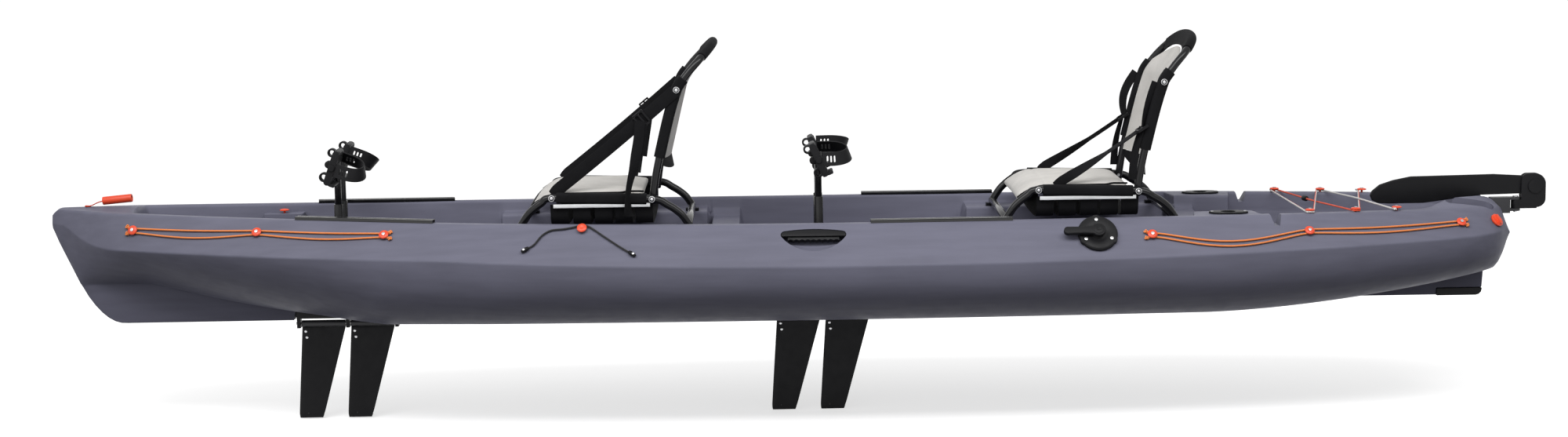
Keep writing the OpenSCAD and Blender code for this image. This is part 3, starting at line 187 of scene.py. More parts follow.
def moulded(name, color, rough, bump=0.12, mottle=0.1, specular=0.5):
    """Moulded plastic: faint mottling, a fine grain and uneven gloss."""
    s = Shader(name, color, rough, specular=specular)
    s.set("Base Color", s.tint(s.spread(s.noise(5.0, 4.0), 0.0, 1.0), 1 - mottle, 1 + mottle))
    s.set("Roughness", s.spread(s.noise(38.0, 4.0), rough - 0.06, rough + 0.08))
    s.bump(s.noise(900.0, 2.0), bump, 0.0004)


def brushed(name, color, rough):
    """Metal with fine lines along X and slight stains."""
    s = Shader(name, color, rough, metallic=1.0)
    lines = s.noise(2.0, 2.0, 0.5, (40, 900, 900))
    s.set("Roughness", s.spread(lines, rough - 0.08, rough + 0.1))
    s.set("Base Color", s.tint(s.noise(60.0), 0.86, 1.06))
    s.bump(lines, 0.08, 0.0002)


def woven(name, color, pitch, contrast=0.16, sheen=0.25, specular=0.25):
    """Plain weave, a little cloudy."""
    s = Shader(name, color, 0.85, sheen=sheen, specular=specular)
    threads = s.crossed(*s.uv(), pitch)
    cloud = s.spread(s.noise(14.0, 5.0), -0.5, 0.5)
    s.set("Base Color", s.tint(s.math("ADD", threads, cloud), 1 - contrast, 1 + contrast * 0.6))
    s.bump(threads, 0.6, pitch * 0.25)


def braided(name, color, fleck, girth=0.0):
    """Braided cord: crossing strands with flecks, or a second colour on half its girth."""
    s = Shader(name, color, 0.7, sheen=0.2, specular=0.3)
    u, v = s.uv()
    strands = s.crossed(s.math("ADD", u, v), s.math("SUBTRACT", u, v), 0.0034)
    part = s.math("GREATER_THAN", v, girth / 2) if girth else s.spread(strands, 0.0, 1.0, 0.72, 0.95)
    s.set("Base Color", s.colours(part, s.tint(strands, 0.72, 1.1), (*fleck, 1)))
    s.bump(strands, 0.7, 0.0008)


def hull_plastic():
    """Rotomoulded hull: satin grey with a violet cast, cloudy and finely pitted, with a painted highlight
    that makes it paler along its convex edges.
    """
    s = Shader("hull_plastic", (0.136, 0.136, 0.181), 0.46, specular=0.1)
    cloud = s.spread(s.noise(2.2, 6.0, 0.6), -0.5, 0.5, 0.25, 0.75)
    drift = s.spread(s.noise(3.0, 5.0, 0.5, (1.5, 14, 14)), -0.5, 0.5)
    # Painted highlight: convex edges such as the coaming rims are made paler, standing in for light on them.
    painted_edge_highlight = s.spread(s.node("NewGeometry").outputs["Pointiness"], 0.0, 0.9, 0.52, 0.62)
    tone_and_edge_highlight = s.math("ADD", s.math("ADD", s.math("ADD", cloud, drift), 0.5), painted_edge_highlight)
    s.set("Base Color", s.tint(tone_and_edge_highlight, 0.93, 1.08))
    s.set("Roughness", s.spread(s.noise(30.0, 5.0), 0.40, 0.54))
    s.bump(s.noise(750.0, 2.0), 0.16, 0.0005)


hull_plastic()
for name, rough, bump, mottle, specular in (
        ("black_plastic", 0.42, 0.12, 0.25, 0.14), ("black_aluminium", 0.16, 0.02, 0.2, 0.5),
        ("drive_plastic", 0.45, 0.12, 0.25, 0.14), ("black_metal", 0.24, 0.03, 0.15, 0.3),
        ("black_rubber", 0.55, 0.12, 0.25, 0.18), ("fin_plastic", 0.5, 0.12, 0.25, 0.14),
        ("black_tube", 0.16, 0.02, 0.15, 0.25)):
    moulded(name, BLACK, rough, bump, mottle, specular)
moulded("red_plastic", (0.75, 0.06, 0.012), 0.38, mottle=0.08)
moulded("grey_metal", (0.03, 0.03, 0.033), 0.4, mottle=0.2, specular=0.3)
woven("red_webbing", (0.60, 0.05, 0.015), 0.0022)
woven("seat_fabric", (0.60, 0.58, 0.55), 0.0026, contrast=0.12)
woven("black_webbing", BLACK, 0.0024, contrast=0.4, sheen=0.0, specular=0.12)
braided("orange_cord", (0.95, 0.24, 0.035), (0.9, 0.5, 0.3))
braided("red_cord", (0.72, 0.70, 0.68), (0.72, 0.07, 0.02), girth=2 * pi * 0.0026)
braided("black_cord", BLACK, (0.03, 0.03, 0.03))
brushed("steel", (0.50, 0.50, 0.51), 0.3)
brushed("silver_aluminium", (0.62, 0.63, 0.64), 0.36)


# Meshes

def edit(mesh, *steps):
    """Runs steps on the mesh as a bmesh, and writes it back."""
    bm = bmesh.new()
    bm.from_mesh(mesh)
    for step in steps:
        step(bm)
    bm.to_mesh(mesh)
    bm.free()


def face_out(bm):
    bmesh.ops.recalc_face_normals(bm, faces=bm.faces)


def round_edges(mesh, width, segments=2, angle=32):
    def bevel(bm):
        sharp = [e for e in bm.edges if e.is_manifold and e.calc_face_angle(0) > radians(angle)]
        bmesh.ops.bevel(bm, geom=sharp, offset=width * MM, segments=segments, profile=0.6, affect="EDGES",
                        clamp_overlap=True)

    edit(mesh, face_out, bevel)


def linked(name, data):
    obj = bpy.data.objects.new(name, data)
    scene.collection.objects.link(obj)
    return obj


def place(mesh, name, slot, body, nodes=(), sharp=40):
    """The mesh as a piece of the part, smooth but for edges sharper than sharp degrees."""
    edit(mesh, face_out)
    mesh.shade_smooth()
    mesh.set_sharp_from_angle(angle=radians(sharp))
    obj = linked(name, mesh)
    mesh.materials.clear()
    mesh.materials.append(MAT[slot])
    if body:
        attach(obj, body)
    if nodes:
        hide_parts(*nodes)
    return obj


def mesh_of(name, parts):
    """Bare mesh of parts of (points, faces, uvs), and the uvs of each face corner; a part's may be None."""
    points, faces, uvs = [], [], []
    for p, f, u in parts:
        base = len(points)
        points += [tuple(MM * float(c) for c in q) for q in p]
        faces += [[base + i for i in face] for face in f]
        uvs += u if u is not None else [[(p[i][0] * MM, p[i][2] * MM) for i in face] for face in f]
    mesh = bpy.data.meshes.new(name)
    mesh.from_pydata(points, [], faces)
    return mesh, [c for face in uvs for pair in face for c in pair]


def build(name, parts, slot, body, nodes=(), sharp=40, bevel=None):
    mesh, uvs = mesh_of(name, parts)
    mesh.uv_layers.new(name="UVMap").data.foreach_set("uv", uvs)
    if bevel:
        round_edges(mesh, *bevel)
    return place(mesh, name, slot, body, nodes, sharp)


def solid(name, parts):
    """A bare object used to cut or join another, removed again after."""
    mesh, _ = mesh_of(name, parts)
    edit(mesh, face_out)
    return linked(name, mesh)


def applied(obj):
    """The object's mesh as its modifiers leave it, which are then removed."""
    mesh = bpy.data.meshes.new_from_object(obj.evaluated_get(bpy.context.evaluated_depsgraph_get()))
    obj.modifiers.clear()
    obj.data = mesh
    return mesh


def combine(obj, other, operation):
    m = obj.modifiers.new("combine", "BOOLEAN")
    m.operation, m.solver, m.object = operation, "EXACT", other
    applied(obj)
    bpy.data.objects.remove(other)


def taken(obj):
    mesh = obj.data
    bpy.data.objects.remove(obj)
    return mesh


def refine(node, slot, bevel, segments=2, trim=None):
    """A finer copy of a CAD node: welded, its flat faces joined, cut to trim and its edges rounded."""
    def weld(bm):
        bmesh.ops.remove_doubles(bm, verts=bm.verts, dist=2e-5)
        bmesh.ops.dissolve_limit(bm, angle_limit=radians(0.8), verts=bm.verts, edges=bm.edges)

    src = frame["nodes"][node]
    mesh = src.data.copy()
    edit(mesh, weld)
    if trim:
        obj = linked(node + "_trimmed", mesh)
        combine(obj, trim, "INTERSECT")
        mesh = taken(obj)
    round_edges(mesh, bevel, segments)
    if "custom_normal" in mesh.attributes:
        mesh.attributes.remove(mesh.attributes["custom_normal"])
    place(mesh, node + "_look", slot, src["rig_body"], [node])


# Lines and outlines

def clamp(v, low, high):
    return min(max(v, low), high)


def unit(v):
    v = np.asarray(v, float)
    return v / max(norm(v), 1e-9)


def mix(a, b, t):
    return np.asarray(a, float) * (1 - t) + np.asarray(b, float) * t


def length_of(path):
    return float(sum(norm(b - a) for a, b in zip(path, path[1:])))


def spline(points, n):
    """Smooth curve through points, n steps to a span."""
    p = [np.asarray(q, float) for q in points]
    e = len(p) - 1
    out = []
    for i in range(e):
        a, b, c, d = p[max(i - 1, 0)], p[i], p[i + 1], p[min(i + 2, e)]
        for t in np.arange(n) / n:
            out.append((2 * b + (c - a) * t + (2 * a - 5 * b + 4 * c - d) * t ** 2
                        + (3 * b - a - 3 * c + d) * t ** 3) / 2)
    return out + [p[e]]


def arc(r, first, last, n, x=0.0, y=0.0):
    """Arc about x, y from one angle to another in n steps."""
    return [(x + r * cos(a), y + r * sin(a)) for a in np.radians(linspace(first, last, n + 1))]


def ring(r, n):
    return arc(r, 0, 360, n)[:-1]


def rounded(w, h, r, n=3):
    """Rounded rectangle outline, counter-clockwise."""
    r = min(r, w / 2, h / 2)
    x, y = w / 2 - r, h / 2 - r
    return [p for i, (a, b) in enumerate(((x, y), (-x, y), (-x, -y), (x, -y)))
            for p in arc(r, 90 * i, 90 * i + 90, n, a, b)]


def oval(length, width, n=12):
    r, e = width / 2, (length - width) / 2
    return arc(r, -90, 90, n, e) + arc(r, 90, 270, n, -e)


def at(x, y, z):
    m = np.eye(4)
    m[:3, 3] = (x, y, z)
    return m


def facing(origin, z_axis, x_axis=X_AXIS):
    m = at(*origin)
    z = unit(z_axis)
    x = unit(np.asarray(x_axis, float) - z * (np.asarray(x_axis, float) @ z))
    m[:3, 0], m[:3, 1], m[:3, 2] = x, np.cross(z, x), z
    return m


# Turns an outline's local x and y into x and z
SIDEWAYS = facing((0, 0, 0), -Y_AXIS)


def placed(m, points):
    return [(m @ (*p, 1))[:3] for p in points]


def carried(path, across, closed=False):
    """Directions across a path, carried along it without twist."""
    m, out, n = np.asarray(across, float), [], len(path)
    for i in range(n):
        after, before = ((i + 1) % n, i - 1) if closed else (min(i + 1, n - 1), max(i - 1, 0))
        d = unit(path[after] - path[before])
        m = unit(m - d * (m @ d))
        out.append((d, m, np.cross(d, m)))
    return out


def turned(outline, angle):
    c, s = cos(radians(angle)), sin(radians(angle))
    return [(x * c - y * s, x * s + y * c) for x, y in outline]


def sweep(path, outline, across=Z_AXIS, sizes=None, dome=0, turns=None, closed=False):
    """Outline carried along a path; sizes and turns act at each point, dome rounds the two ends."""
    path = [np.asarray(p, float) for p in path]
    sizes = list(sizes) if sizes is not None else [1.0] * len(path)
    if dome:
        steps = [(dome * sin(radians(a)), cos(radians(a))) for a in (88, 62, 34)]
        for e, inner in ((0, 1), (-1, -2)):
            d = unit(path[e] - path[inner])
            more, less = [path[e] + d * s for s, _ in steps], [sizes[e] * c for _, c in steps]
            path = path + more[::-1] if e else more + path
            sizes = sizes + less[::-1] if e else less + sizes
    turns = list(turns) if turns is not None else [0.0] * len(path)
    n, rows, frames = len(outline), len(path), carried(path, across, closed)
    points = [p + k * (o[0] * m + o[1] * b) for p, k, a, (_, m, b) in zip(path, sizes, turns, frames)
              for o in (turned(outline, a) if a else outline)]
    run = MM * np.cumsum([0] + [norm(path[(i + 1) % rows] - path[i]) for i in range(rows)])
    girth = MM * np.cumsum([0] + [dist(outline[i], outline[(i + 1) % n]) for i in range(n)])
    faces, uvs = [], []
    for i in range(rows if closed else rows - 1):
        for k in range(n):
            j, a, b = (k + 1) % n, i * n, (i + 1) % rows * n
            faces.append([a + k, a + j, b + j, b + k])
            uvs.append([(run[p], girth[q]) for p, q in ((i, k), (i, k + 1), (i + 1, k + 1), (i + 1, k))])
    for base in () if closed else (0, (rows - 1) * n):
        faces.append([base + k for k in (range(n) if base else range(n - 1, -1, -1))])
        uvs.append([(o[0] * MM, o[1] * MM) for o in (outline if base else outline[::-1])])
    return points, faces, uvs


def shell(rings):
    """Closed part from rings of points, one after another, with flat ends."""
    n, last = len(rings[0]), (len(rings) - 1) * len(rings[0])
    faces = [[i + k, i + (k + 1) % n, i + n + (k + 1) % n, i + n + k]
             for i in range(0, last, n) for k in range(n)]
    faces += [list(range(n - 1, -1, -1)), list(range(last, last + n))]
    return [p for r in rings for p in r], faces, None


def lathe(profile, n, m):
    """Profile of (radius, height) turned about local z."""
    return shell([placed(m, [(*p, z) for p in ring(r, n)]) for r, z in profile])


def prism(outline, low, high, m):
    """Outline in local x, y from low to high along local z."""
    return shell([placed(m, [(*p, z) for p in outline]) for z in (low, high)])


def slab(grid_low, grid_high):
    """Closed slab between two equal grids of points, with its UV along the grid."""
    n, m = len(grid_low) - 1, len(grid_low[0]) - 1
    w = m + 1
    points = [p for g in (grid_low, grid_high) for row in g for p in row]
    top = (n + 1) * w
    g = np.array(grid_high, float)
    run, wide = [np.concatenate([[0], np.cumsum(norm(np.diff(q, axis=0), axis=1))]) * MM
                 for q in (g[:, m // 2], g[n // 2])]
    faces = []
    for i in range(n):
        for j in range(m):
            a = i * w + j
            faces += [[a, a + w, a + w + 1, a + 1], [top + a, top + a + 1, top + a + w + 1, top + a + w]]
    edges = [(i * w + e, (i + 1) * w + e, e) for i in range(n) for e in (0, m)]
    edges += [(e * w + j, e * w + j + 1, not e) for j in range(m) for e in (0, n)]
    faces += [[a, top + a, top + b, b][::-1 if flip else 1] for a, b, flip in edges]
    return points, faces, [[(run[i % top // w], wide[i % top % w]) for i in f] for f in faces]


# Hull lines, the same as the part's

BEAM, CREASE_H, COAMING_H, PANEL_LEAN, RIM_W = 860, 195, 303, 88, 34
BOW_X, STERN_X = -2135, 2135
MIDSHIP = 0.56
STEM_END, STEM_TOP, STEM_LOW, FOREFOOT_END = 88, 285, 90, 196
RISE_X, TAIL, STERN_RISE, TAIL_RISE = 1200, 85, 105, 92
SHEER_FORE, SHEER_AFT, NOSE, NOSE_DROP, HEEL, HEEL_DROP = 40, 8, 30, 20, 60, 80
CREASE_FORE, CREASE_AFT, CROWN, CROWN_HALF = 105, 38, 8, 60
FINE_X, FINE_RUN, FINE_RISE, KEEL_HALF, KEEL_FINE = -1150, 700, 118, 60, 14
RIM_MORE, ROOM_HALF, ROOM_AFT, ROOM_ANGLE = 84, 24, 20, 25
RUN = 18
PLAN = [(0, 0.04), (0.055, 0.36), (0.19, 0.72), (0.35, 0.94), (0.5, 1), (0.65, 0.99), (0.8, 0.89),
        (0.9, 0.76), (0.965, 0.6), (1, 0.3)]
HORN_X, HORN_RISE, HORN_RUN = STERN_X - 156, 26, 100
NOTCH_X, TANK_END, FLOOR_H, TANK_FLOOR, AFT_DECK = 1392, 1850, 115, 190, 255
FORE_WELL, FORE_RISE, WIDE_RIM = -1888, -1500, 1160
# Middle, half length and height of each cross beam
BEAMS = ((-170, 40, 250), (1195, 35, 262))
BENCHES, BENCH_H, BENCH_HALF = ((-860, -228), (536, 1142)), 276, 188


def share(x):
    return clamp((x - BOW_X) / (STERN_X - BOW_X), 0, 1)


def ramp(x, start):
    t = clamp((x - start) / RUN, 0, 1)
    return t * t * (3 - 2 * t)


def curve(k, s):
    """Smooth curve through knots of (place, value)."""
    i = 0
    while i < len(k) - 2 and s >= k[i + 1][0]:
        i += 1

    def slope(q):
        a, b = max(q - 1, 0), min(q + 1, len(k) - 1)
        return (k[b][1] - k[a][1]) / (k[b][0] - k[a][0])

    h = k[i + 1][0] - k[i][0]
    t = (s - k[i][0]) / h
    return ((2 * t ** 3 - 3 * t ** 2 + 1) * k[i][1] + (t ** 3 - 2 * t ** 2 + t) * h * slope(i)
            + (3 * t ** 2 - 2 * t ** 3) * k[i + 1][1] + (t ** 3 - t ** 2) * h * slope(i + 1))


def crease_y(x):
    return BEAM / 2 * curve(PLAN, share(x))


def coaming_y(x):
    return crease_y(x) - PANEL_LEAN * min(1, crease_y(x) / 300)


def bottom_z(x):
    d = x - BOW_X
    if d < STEM_END:
        return STEM_TOP + (STEM_LOW - STEM_TOP) * d / STEM_END
    if d < FOREFOOT_END:
        return STEM_LOW * ((FOREFOOT_END - d) / (FOREFOOT_END - STEM_END)) ** 2
    t = max(0, x - RISE_X) / (STERN_X - TAIL - RISE_X)
    e = max(0, x - STERN_X + TAIL) / TAIL
    return STERN_RISE * t ** 1.7 + TAIL_RISE * e ** 2.2


def from_midship(x):
    """Shares of the way from the middle to the bow and to the stern."""
    return max(0, (MIDSHIP - share(x)) / MIDSHIP), max(0, (share(x) - MIDSHIP) / (1 - MIDSHIP))


def top_z(x):
    f, a = from_midship(x)
    return (COAMING_H + SHEER_FORE * f ** 2 - SHEER_AFT * a ** 2
            - NOSE_DROP * max(0, 1 - (x - BOW_X) / NOSE) ** 2
            - HEEL_DROP * (max(0, x - STERN_X + HEEL) / HEEL) ** 2)


def crease_z(x):
    low, high = bottom_z(x), top_z(x)
    f, a = from_midship(x)
    return clamp(CREASE_H + CREASE_FORE * f ** 2.2 + CREASE_AFT * a ** 2, low * 0.7 + high * 0.3,
                 low * 0.3 + high * 0.7)


def blade_share(x):
    return clamp((FINE_X - x) / FINE_RUN, 0, 1)


def slim_rim(x):
    return min(RIM_W, 0.3 * coaming_y(x))


def rim(x):
    return slim_rim(x) + RIM_MORE * (ramp(x, WIDE_RIM) - ramp(x, NOTCH_X - 3 * RUN))


def rudder_room(x):
    return ROOM_HALF + max(0, STERN_X + ROOM_AFT - x) * tan(radians(ROOM_ANGLE))


def well_y(x):
    return min(coaming_y(x) - rim(x), rudder_room(x))


def well_floor(x):
    fore = clamp((FORE_RISE - x) / (FORE_RISE - FORE_WELL), 0, 1) ** 1.3
    z = TANK_FLOOR if x >= BEAMS[1][0] else FLOOR_H + (STEM_TOP - FLOOR_H) * fore
    for mid, half, h in BEAMS:
        k = ramp(x, mid - half - RUN) - ramp(x, mid + half)
        z = z * (1 - k) + h * k
    k = ramp(x, TANK_END - RUN)
    return min(z * (1 - k) + AFT_DECK * k, top_z(x) - 1)


def deck_mid(x):
    return top_z(x) + CROWN * min(1, well_y(x) / CROWN_HALF)


def half_section(x):
    """Corners of half a cross section with the radius of each, from the keel to the middle of the floor."""
    low, yc, zc, fine = bottom_z(x), crease_y(x), crease_z(x), blade_share(x)
    keel = min(KEEL_HALF + (KEEL_FINE - KEEL_HALF) * min(1, 3.5 * fine), 0.55 * yc)
    yj = min(keel + 8, 0.75 * yc)
    zj = clamp(FINE_RISE * fine ** 1.6, low + 0.5, (low + zc) / 2)
    p = 2 / (1.65 + 0.85 * clamp(share(x) / 0.3, 0, 1))
    zt, yi, zf = top_z(x), well_y(x), well_floor(x)
    b = sum(ramp(x, start) - ramp(x, end) for start, end in BENCHES)
    zl = ((zf + zt) / 2) * (1 - b) + BENCH_H * b
    yl = (yi - 8) * (1 - b) + BENCH_HALF * b
    inner, middle = (yi, zt + HORN_RISE * exp(-((x - HORN_X) / HORN_RUN) ** 4)), (0, deck_mid(x))
    walls = [(yi - 6, zl), (yl, zl - 6 * (1 - b)), (yl - 10, zf + 10), (yl - 20, zf),
             (0, zf + 2 * ramp(x, TANK_END))]
    out = [((0, low), 0), ((keel, low), 5), ((yj, zj), 6)]
    for line in np.arange(1, 16) / 16:
        a = pi / 2 * line
        y, z = mix((sin(a) ** p, 1 - cos(a) ** p), (line, line), 0.55 * fine ** 0.7)
        out.append(((yj + (yc - yj) * y, zj + (zc - zj) * z), 0))
    out += [((yc, zc), 5), ((coaming_y(x), zt), 9), (inner, 8)]
    for i, (wall, r) in enumerate(zip(walls, (7, 7, 8, 8, 0)), 1):
        out.append((mix(mix(inner, middle, i / 5), wall, ramp(x, FORE_WELL)), r))
    return out


def eased(corners, steps=4):
    """Corners rounded by short curves, each of the same number of points."""
    out = []
    for i, (p, r) in enumerate(corners):
        p = np.array(p, float)
        if not r:
            out.append(p)
            continue
        s, e = [p + d * min(r / max(norm(d), 1e-6), 0.42) for d in (np.array(corners[j][0], float) - p
                                                                   for j in (i - 1, i + 1))]
        out += [(1 - t) ** 2 * s + 2 * t * (1 - t) * p + t * t * e for t in linspace(0, 1, steps + 1)]
    return out


def hull_stations():
    """Places of the hull's frames, closer where its form changes."""
    last = STERN_X - 4
    xs = set(np.round(linspace(BOW_X, last, 230), 1))
    edges = [FORE_WELL, WIDE_RIM, NOTCH_X - 3 * RUN, TANK_END - RUN, TANK_END]
    edges += [e for mid, half, _ in BEAMS for e in (mid - half - RUN, mid + half)]
    edges += [e for pair in BENCHES for e in pair]
    for e in edges:
        xs |= set(np.round(linspace(e - 3, e + RUN + 3, 9), 1))
    for d in (3, 8, 16, 28):
        xs |= {BOW_X + d, last - d}
    out = []
    for x in sorted(xs):
        if not out or x - out[-1] > 1.6:
            out.append(float(x))
    return out


def panel_point(x, t, side):
    """Place on the sloped side panel, t up from its crease to the coaming."""
    y, z = mix((crease_y(x), crease_z(x)), (coaming_y(x), top_z(x)), t)
    return np.array([x, side * y, z])


def panel_rise(x, side):
    return panel_point(x, 1, side) - panel_point(x, 0, side)


def panel_out(x, t, side):
    along = unit(panel_point(x + 20, t, side) - panel_point(x - 20, t, side))
    return along, side * unit(np.cross(unit(panel_rise(x, side)), along))


def on_panel(x, t, side):
    """Matrix of a place on the side panel; local z points outboard."""
    along, out = panel_out(x, t, side)
    return facing(panel_point(x, t, side), out, along)


def rim_point(x, side):
    return np.array([x, side * (coaming_y(x) - slim_rim(x) / 2), top_z(x)])


# Hull

ROD_X, ROD_R, ROD_WALL, ROD_TILT = 1266, 20.5, 5.5, 15
DRIVES, SEATS = {"front": -1295, "rear": 103}, {"front": -660, "rear": 726}
DRIVE_WELL, DRIVE_WELL_X = (326, 70), 13
# Places on the side panel: x and height
GRIP, LEVER, PLUG, KNOB = (80, 0.6), (876, 0.62), (STERN_X - 89, 0.44), (-568, 0.9)
SHELF_X, SHELF_TOP = -1485, 300
SHELF_Y = well_y(SHELF_X) - 26
# Arcs of a hand recess: x, y, radius and the two angles
RECESS_ARC, RECESS_ARCH = (0, 77.2, 109.2, 214.6, 325.4), (0, -508, 548, 81.4, 98.6)
RECESS_X, RECESS_Y, RECESS_R = 80, 22, 12
# Depth, and how far the lower edge still reaches down there
RECESS_RINGS = ((40, 1), (0, 1), (-12, 0.82), (-22, 0.6), (-30, 0.36))
GRIP_LOW, GRIP_GAP, LIP_HALF, SCALLOPS = 18, 1.5, 72, 9
SKEG = [(-597, 60), (-532, 18), (-212, 18), (-212, 38), (-78, 38), (-72, 125), (-212, 150)]
NOTCH = [(-7, 271), (7, 271), (25, 330), (-25, 330)]


def recess_line(low, inset, *more):
    """Upper outline of a hand recess, from the angle low on one corner to the same on the other."""
    rows = [(RECESS_X, RECESS_Y, RECESS_R, low, RECESS_ARCH[3]), RECESS_ARCH,
            (-RECESS_X, RECESS_Y, RECESS_R, RECESS_ARCH[4], 180 - low), *more]
    return [p for x, y, r, first, last in rows for p in arc(r - inset, first, last, 12, x, y)[:-1]]


def recess(side):
    """Cutter for a hand recess: a half-moon whose lower edge runs up to the back."""
    line = recess_line(RECESS_ARC[4] - 360, 0, RECESS_ARC)
    return shell([placed(on_panel(*GRIP, side), [
        (x, -side * (RECESS_Y + (y - RECESS_Y) * (1 if y > RECESS_Y else keep)), depth) for x, y in line])
        for depth, keep in RECESS_RINGS])


def hand_grip(side):
    """Bar across the top of a hand recess, with a scalloped lip for the fingers behind it."""
    bar = recess_line(degrees(asin((GRIP_LOW - RECESS_Y) / (RECESS_R - GRIP_GAP))), GRIP_GAP)
    bar.append((-bar[0][0], GRIP_LOW))
    lip = [(LIP_HALF, GRIP_LOW + 12), (-LIP_HALF, GRIP_LOW + 12)]
    lip += [(LIP_HALF * (2 * u - 1), GRIP_LOW - 11 + 3.5 * abs(sin(SCALLOPS * pi * u)))
            for u in linspace(0, 1, 4 * SCALLOPS + 1)]
    return [prism([(x, -side * y) for x, y in line], low, high, on_panel(*GRIP, side))
            for line, low, high in ((bar, -15, -1), (lip, -20, -7))]


def hull_body():
    """Outside and wells of the hull; its last frames stand closer, for the photograph's blunt stern."""
    xs = hull_stations()
    halves = [eased(half_section(x)) for x in xs]
    lid = well_floor(xs[-1])
    halves[-1] = [np.array([y, min(z, lid - 0.04 * abs(y))]) for y, z in halves[-1]]
    points = []
    for x, half in zip(xs, halves):
        frame_x = x - 0.36 * max(0, x - STERN_X + TAIL)
        points += [(frame_x, *p) for p in half] + [(frame_x, -y, z) for y, z in half[-2:0:-1]]
    n, last = len(points) // len(xs), len(points) - len(points) // len(xs)
    faces = [[i + k, i + n + k, i + n + (k + 1) % n, i + (k + 1) % n]
             for i in range(0, last, n) for k in range(n)]
    for base in (0, last):
        for i in range(n // 2):
            f = [base + i, base + i + 1, base + (n - i - 1) % n, base + (n - i) % n]
            faces.append([v for q, v in enumerate(f) if v not in f[:q]][::-1 if base else 1])
    return solid("hull_body", [(points, faces, None)])


def hull_cuts():
    cuts = []
    t = radians(180 - ROD_TILT)
    for s in SIDES:
        rod = (ROD_X, s * (coaming_y(ROD_X) - rim(ROD_X) / 2), top_z(ROD_X))
        hold_y = (rudder_room(HORN_X) + coaming_y(HORN_X)) / 2
        cuts += [recess(s), prism(oval(140, 40), 238, 380, at(HORN_X, s * hold_y, 0)),
                 prism(NOTCH, -80, 80, at(NOTCH_X, s * (coaming_y(NOTCH_X) - RIM_W / 2), 0) @ SIDEWAYS),
                 lathe([(ROD_R + ROD_WALL, z) for z in (-30, 152)], 40, facing(rod, (sin(t), 0, cos(t))))]
    cuts += [prism(oval(*DRIVE_WELL, 16), -10, 125, at(x + DRIVE_WELL_X, 0, 0)) for x in DRIVES.values()]
    return cuts + [lathe([(12, -20), (12, 20)], 32, on_panel(*PLUG, LEFT))]


def make_hull():
    hull = hull_body()
    skeg = solid("skeg", [prism(SKEG, -14, 14, at(STERN_X, 0, 0) @ SIDEWAYS)])
    round_edges(skeg.data, 4, 3)
    combine(hull, skeg, "UNION")
    shelves = [prism(rounded(116, 60, 8), 272, SHELF_TOP, at(SHELF_X, s * SHELF_Y, 0)) for s in SIDES]
    combine(hull, solid("shelves", shelves), "UNION")
    combine(hull, solid("cuts", hull_cuts()), "DIFFERENCE")
    place(taken(hull), "hull_skin", "hull_plastic", "hull", ["hull_shell"], 38)


# Camera, light and floor

CAMERA_AT, CAMERA_TURNS = (-0.07, -7.5, 1.263), ((-0.55, "Z"), (90 - 7.5, "X"), (-0.9, "Z"))


def make_camera():
    data = bpy.data.cameras.new("camera")
    data.sensor_width, data.lens, data.clip_end = 36.0, 59.15, 200.0
    cam = linked("camera", data)
    cam.matrix_world = Matrix.Translation(CAMERA_AT)
    for angle, axis in CAMERA_TURNS:
        cam.matrix_world = cam.matrix_world @ Matrix.Rotation(radians(angle), 4, axis)
    scene.camera = cam


def make_stage():
    """White studio: what shows and shines is white, and the light on the object is softer."""
    scene.view_settings.view_transform = "Standard"
    scene.world = bpy.data.worlds.new("studio")
    scene.world.use_nodes = True
    w = Nodes(scene.world.node_tree)
    height = w.node("SeparateXYZ", Vector=w.node("TexCoord").outputs["Generated"]).outputs["Z"]
    back = w.tree.nodes["Background"].inputs
    w.give(back["Color"], WHITE)
    sky = w.spread(height, 0.2, 0.45, -0.1, 0.9)
    w.give(back["Strength"], w.node("Mix", Factor=w.seen(), A=sky, B=1.0).outputs[0])
    key = bpy.data.lights.new("key", "AREA")
    key.shape, key.size, key.size_y, key.energy = "RECTANGLE", 7.0, 1.2, 165.0
    box = linked("key", key)
    box.location, box.rotation_euler = (0, -2.4, 3.2), (radians(39), 0, 0)
    fill = bpy.data.lights.new("fill", "SUN")
    fill.energy, fill.angle = 0.85, radians(80)
    linked("fill", fill).rotation_euler = (radians(62), 0, radians(-36))
    z = cad_box[0].z - 0.004
    mesh = bpy.data.meshes.new("floor")
    mesh.from_pydata([(-70, -40, z), (70, -40, z), (70, 90, z), (-70, 90, z)], [], [[0, 1, 2, 3]])
    s = Shader("floor", (0.08, 0.08, 0.08), 1.0, specular=0.0)
    seen = s.seen()
    s.set("Base Color", s.tint(seen, 1, 10))
    s.set("Emission Strength", s.math("MULTIPLY", seen, 0.62))
    s.set("Emission Color", WHITE)
    mesh.materials.append(MAT["floor"])
    linked("floor", mesh)


make_camera()
make_stage()
make_hull()


# Deck fittings

GAP, CORD_R, STEM_R, PAD_R = 0.3, 2.6, 3.4, 14
CORD_LIFT = GAP + CORD_R + 1.4
DOME_LOW = GAP + 2 * CORD_R + 1.4 + 0.5
CORD_OFF = STEM_R + CORD_R + 0.4
KNOT_R, KNOT_SIZE, KNOT_LIFT = 1.9, 1.75, 1.5
# Places along the side panel: x and height
BOW_PADS = [(-1869 + 370 * i, t) for i, t in enumerate((0.55, 0.62, 0.64))]
STERN_PADS = [(1030 + 449 * i, t) for i, t in enumerate((0.55, 0.48, 0.48))]
TANK_PADS = (1495, 1630, 1752)
# Pads, then the sag of the upper strand and of the lower one in each half
BUNGEES = {"bow": (BOW_PADS, (3, 3), (14, 12)), "stern": (STERN_PADS, (36, 6), (40, 12))}
PADDLE_ROUTE = [(-716, 0.4), (-700, 0.5), (-680, 0.72), (-655, 0.85), (-620, 0.89), (-590, 0.94),
                (-568, 0.985), (-546, 0.94), (-500, 0.68), (-460, 0.46), (-436, 0.34)]
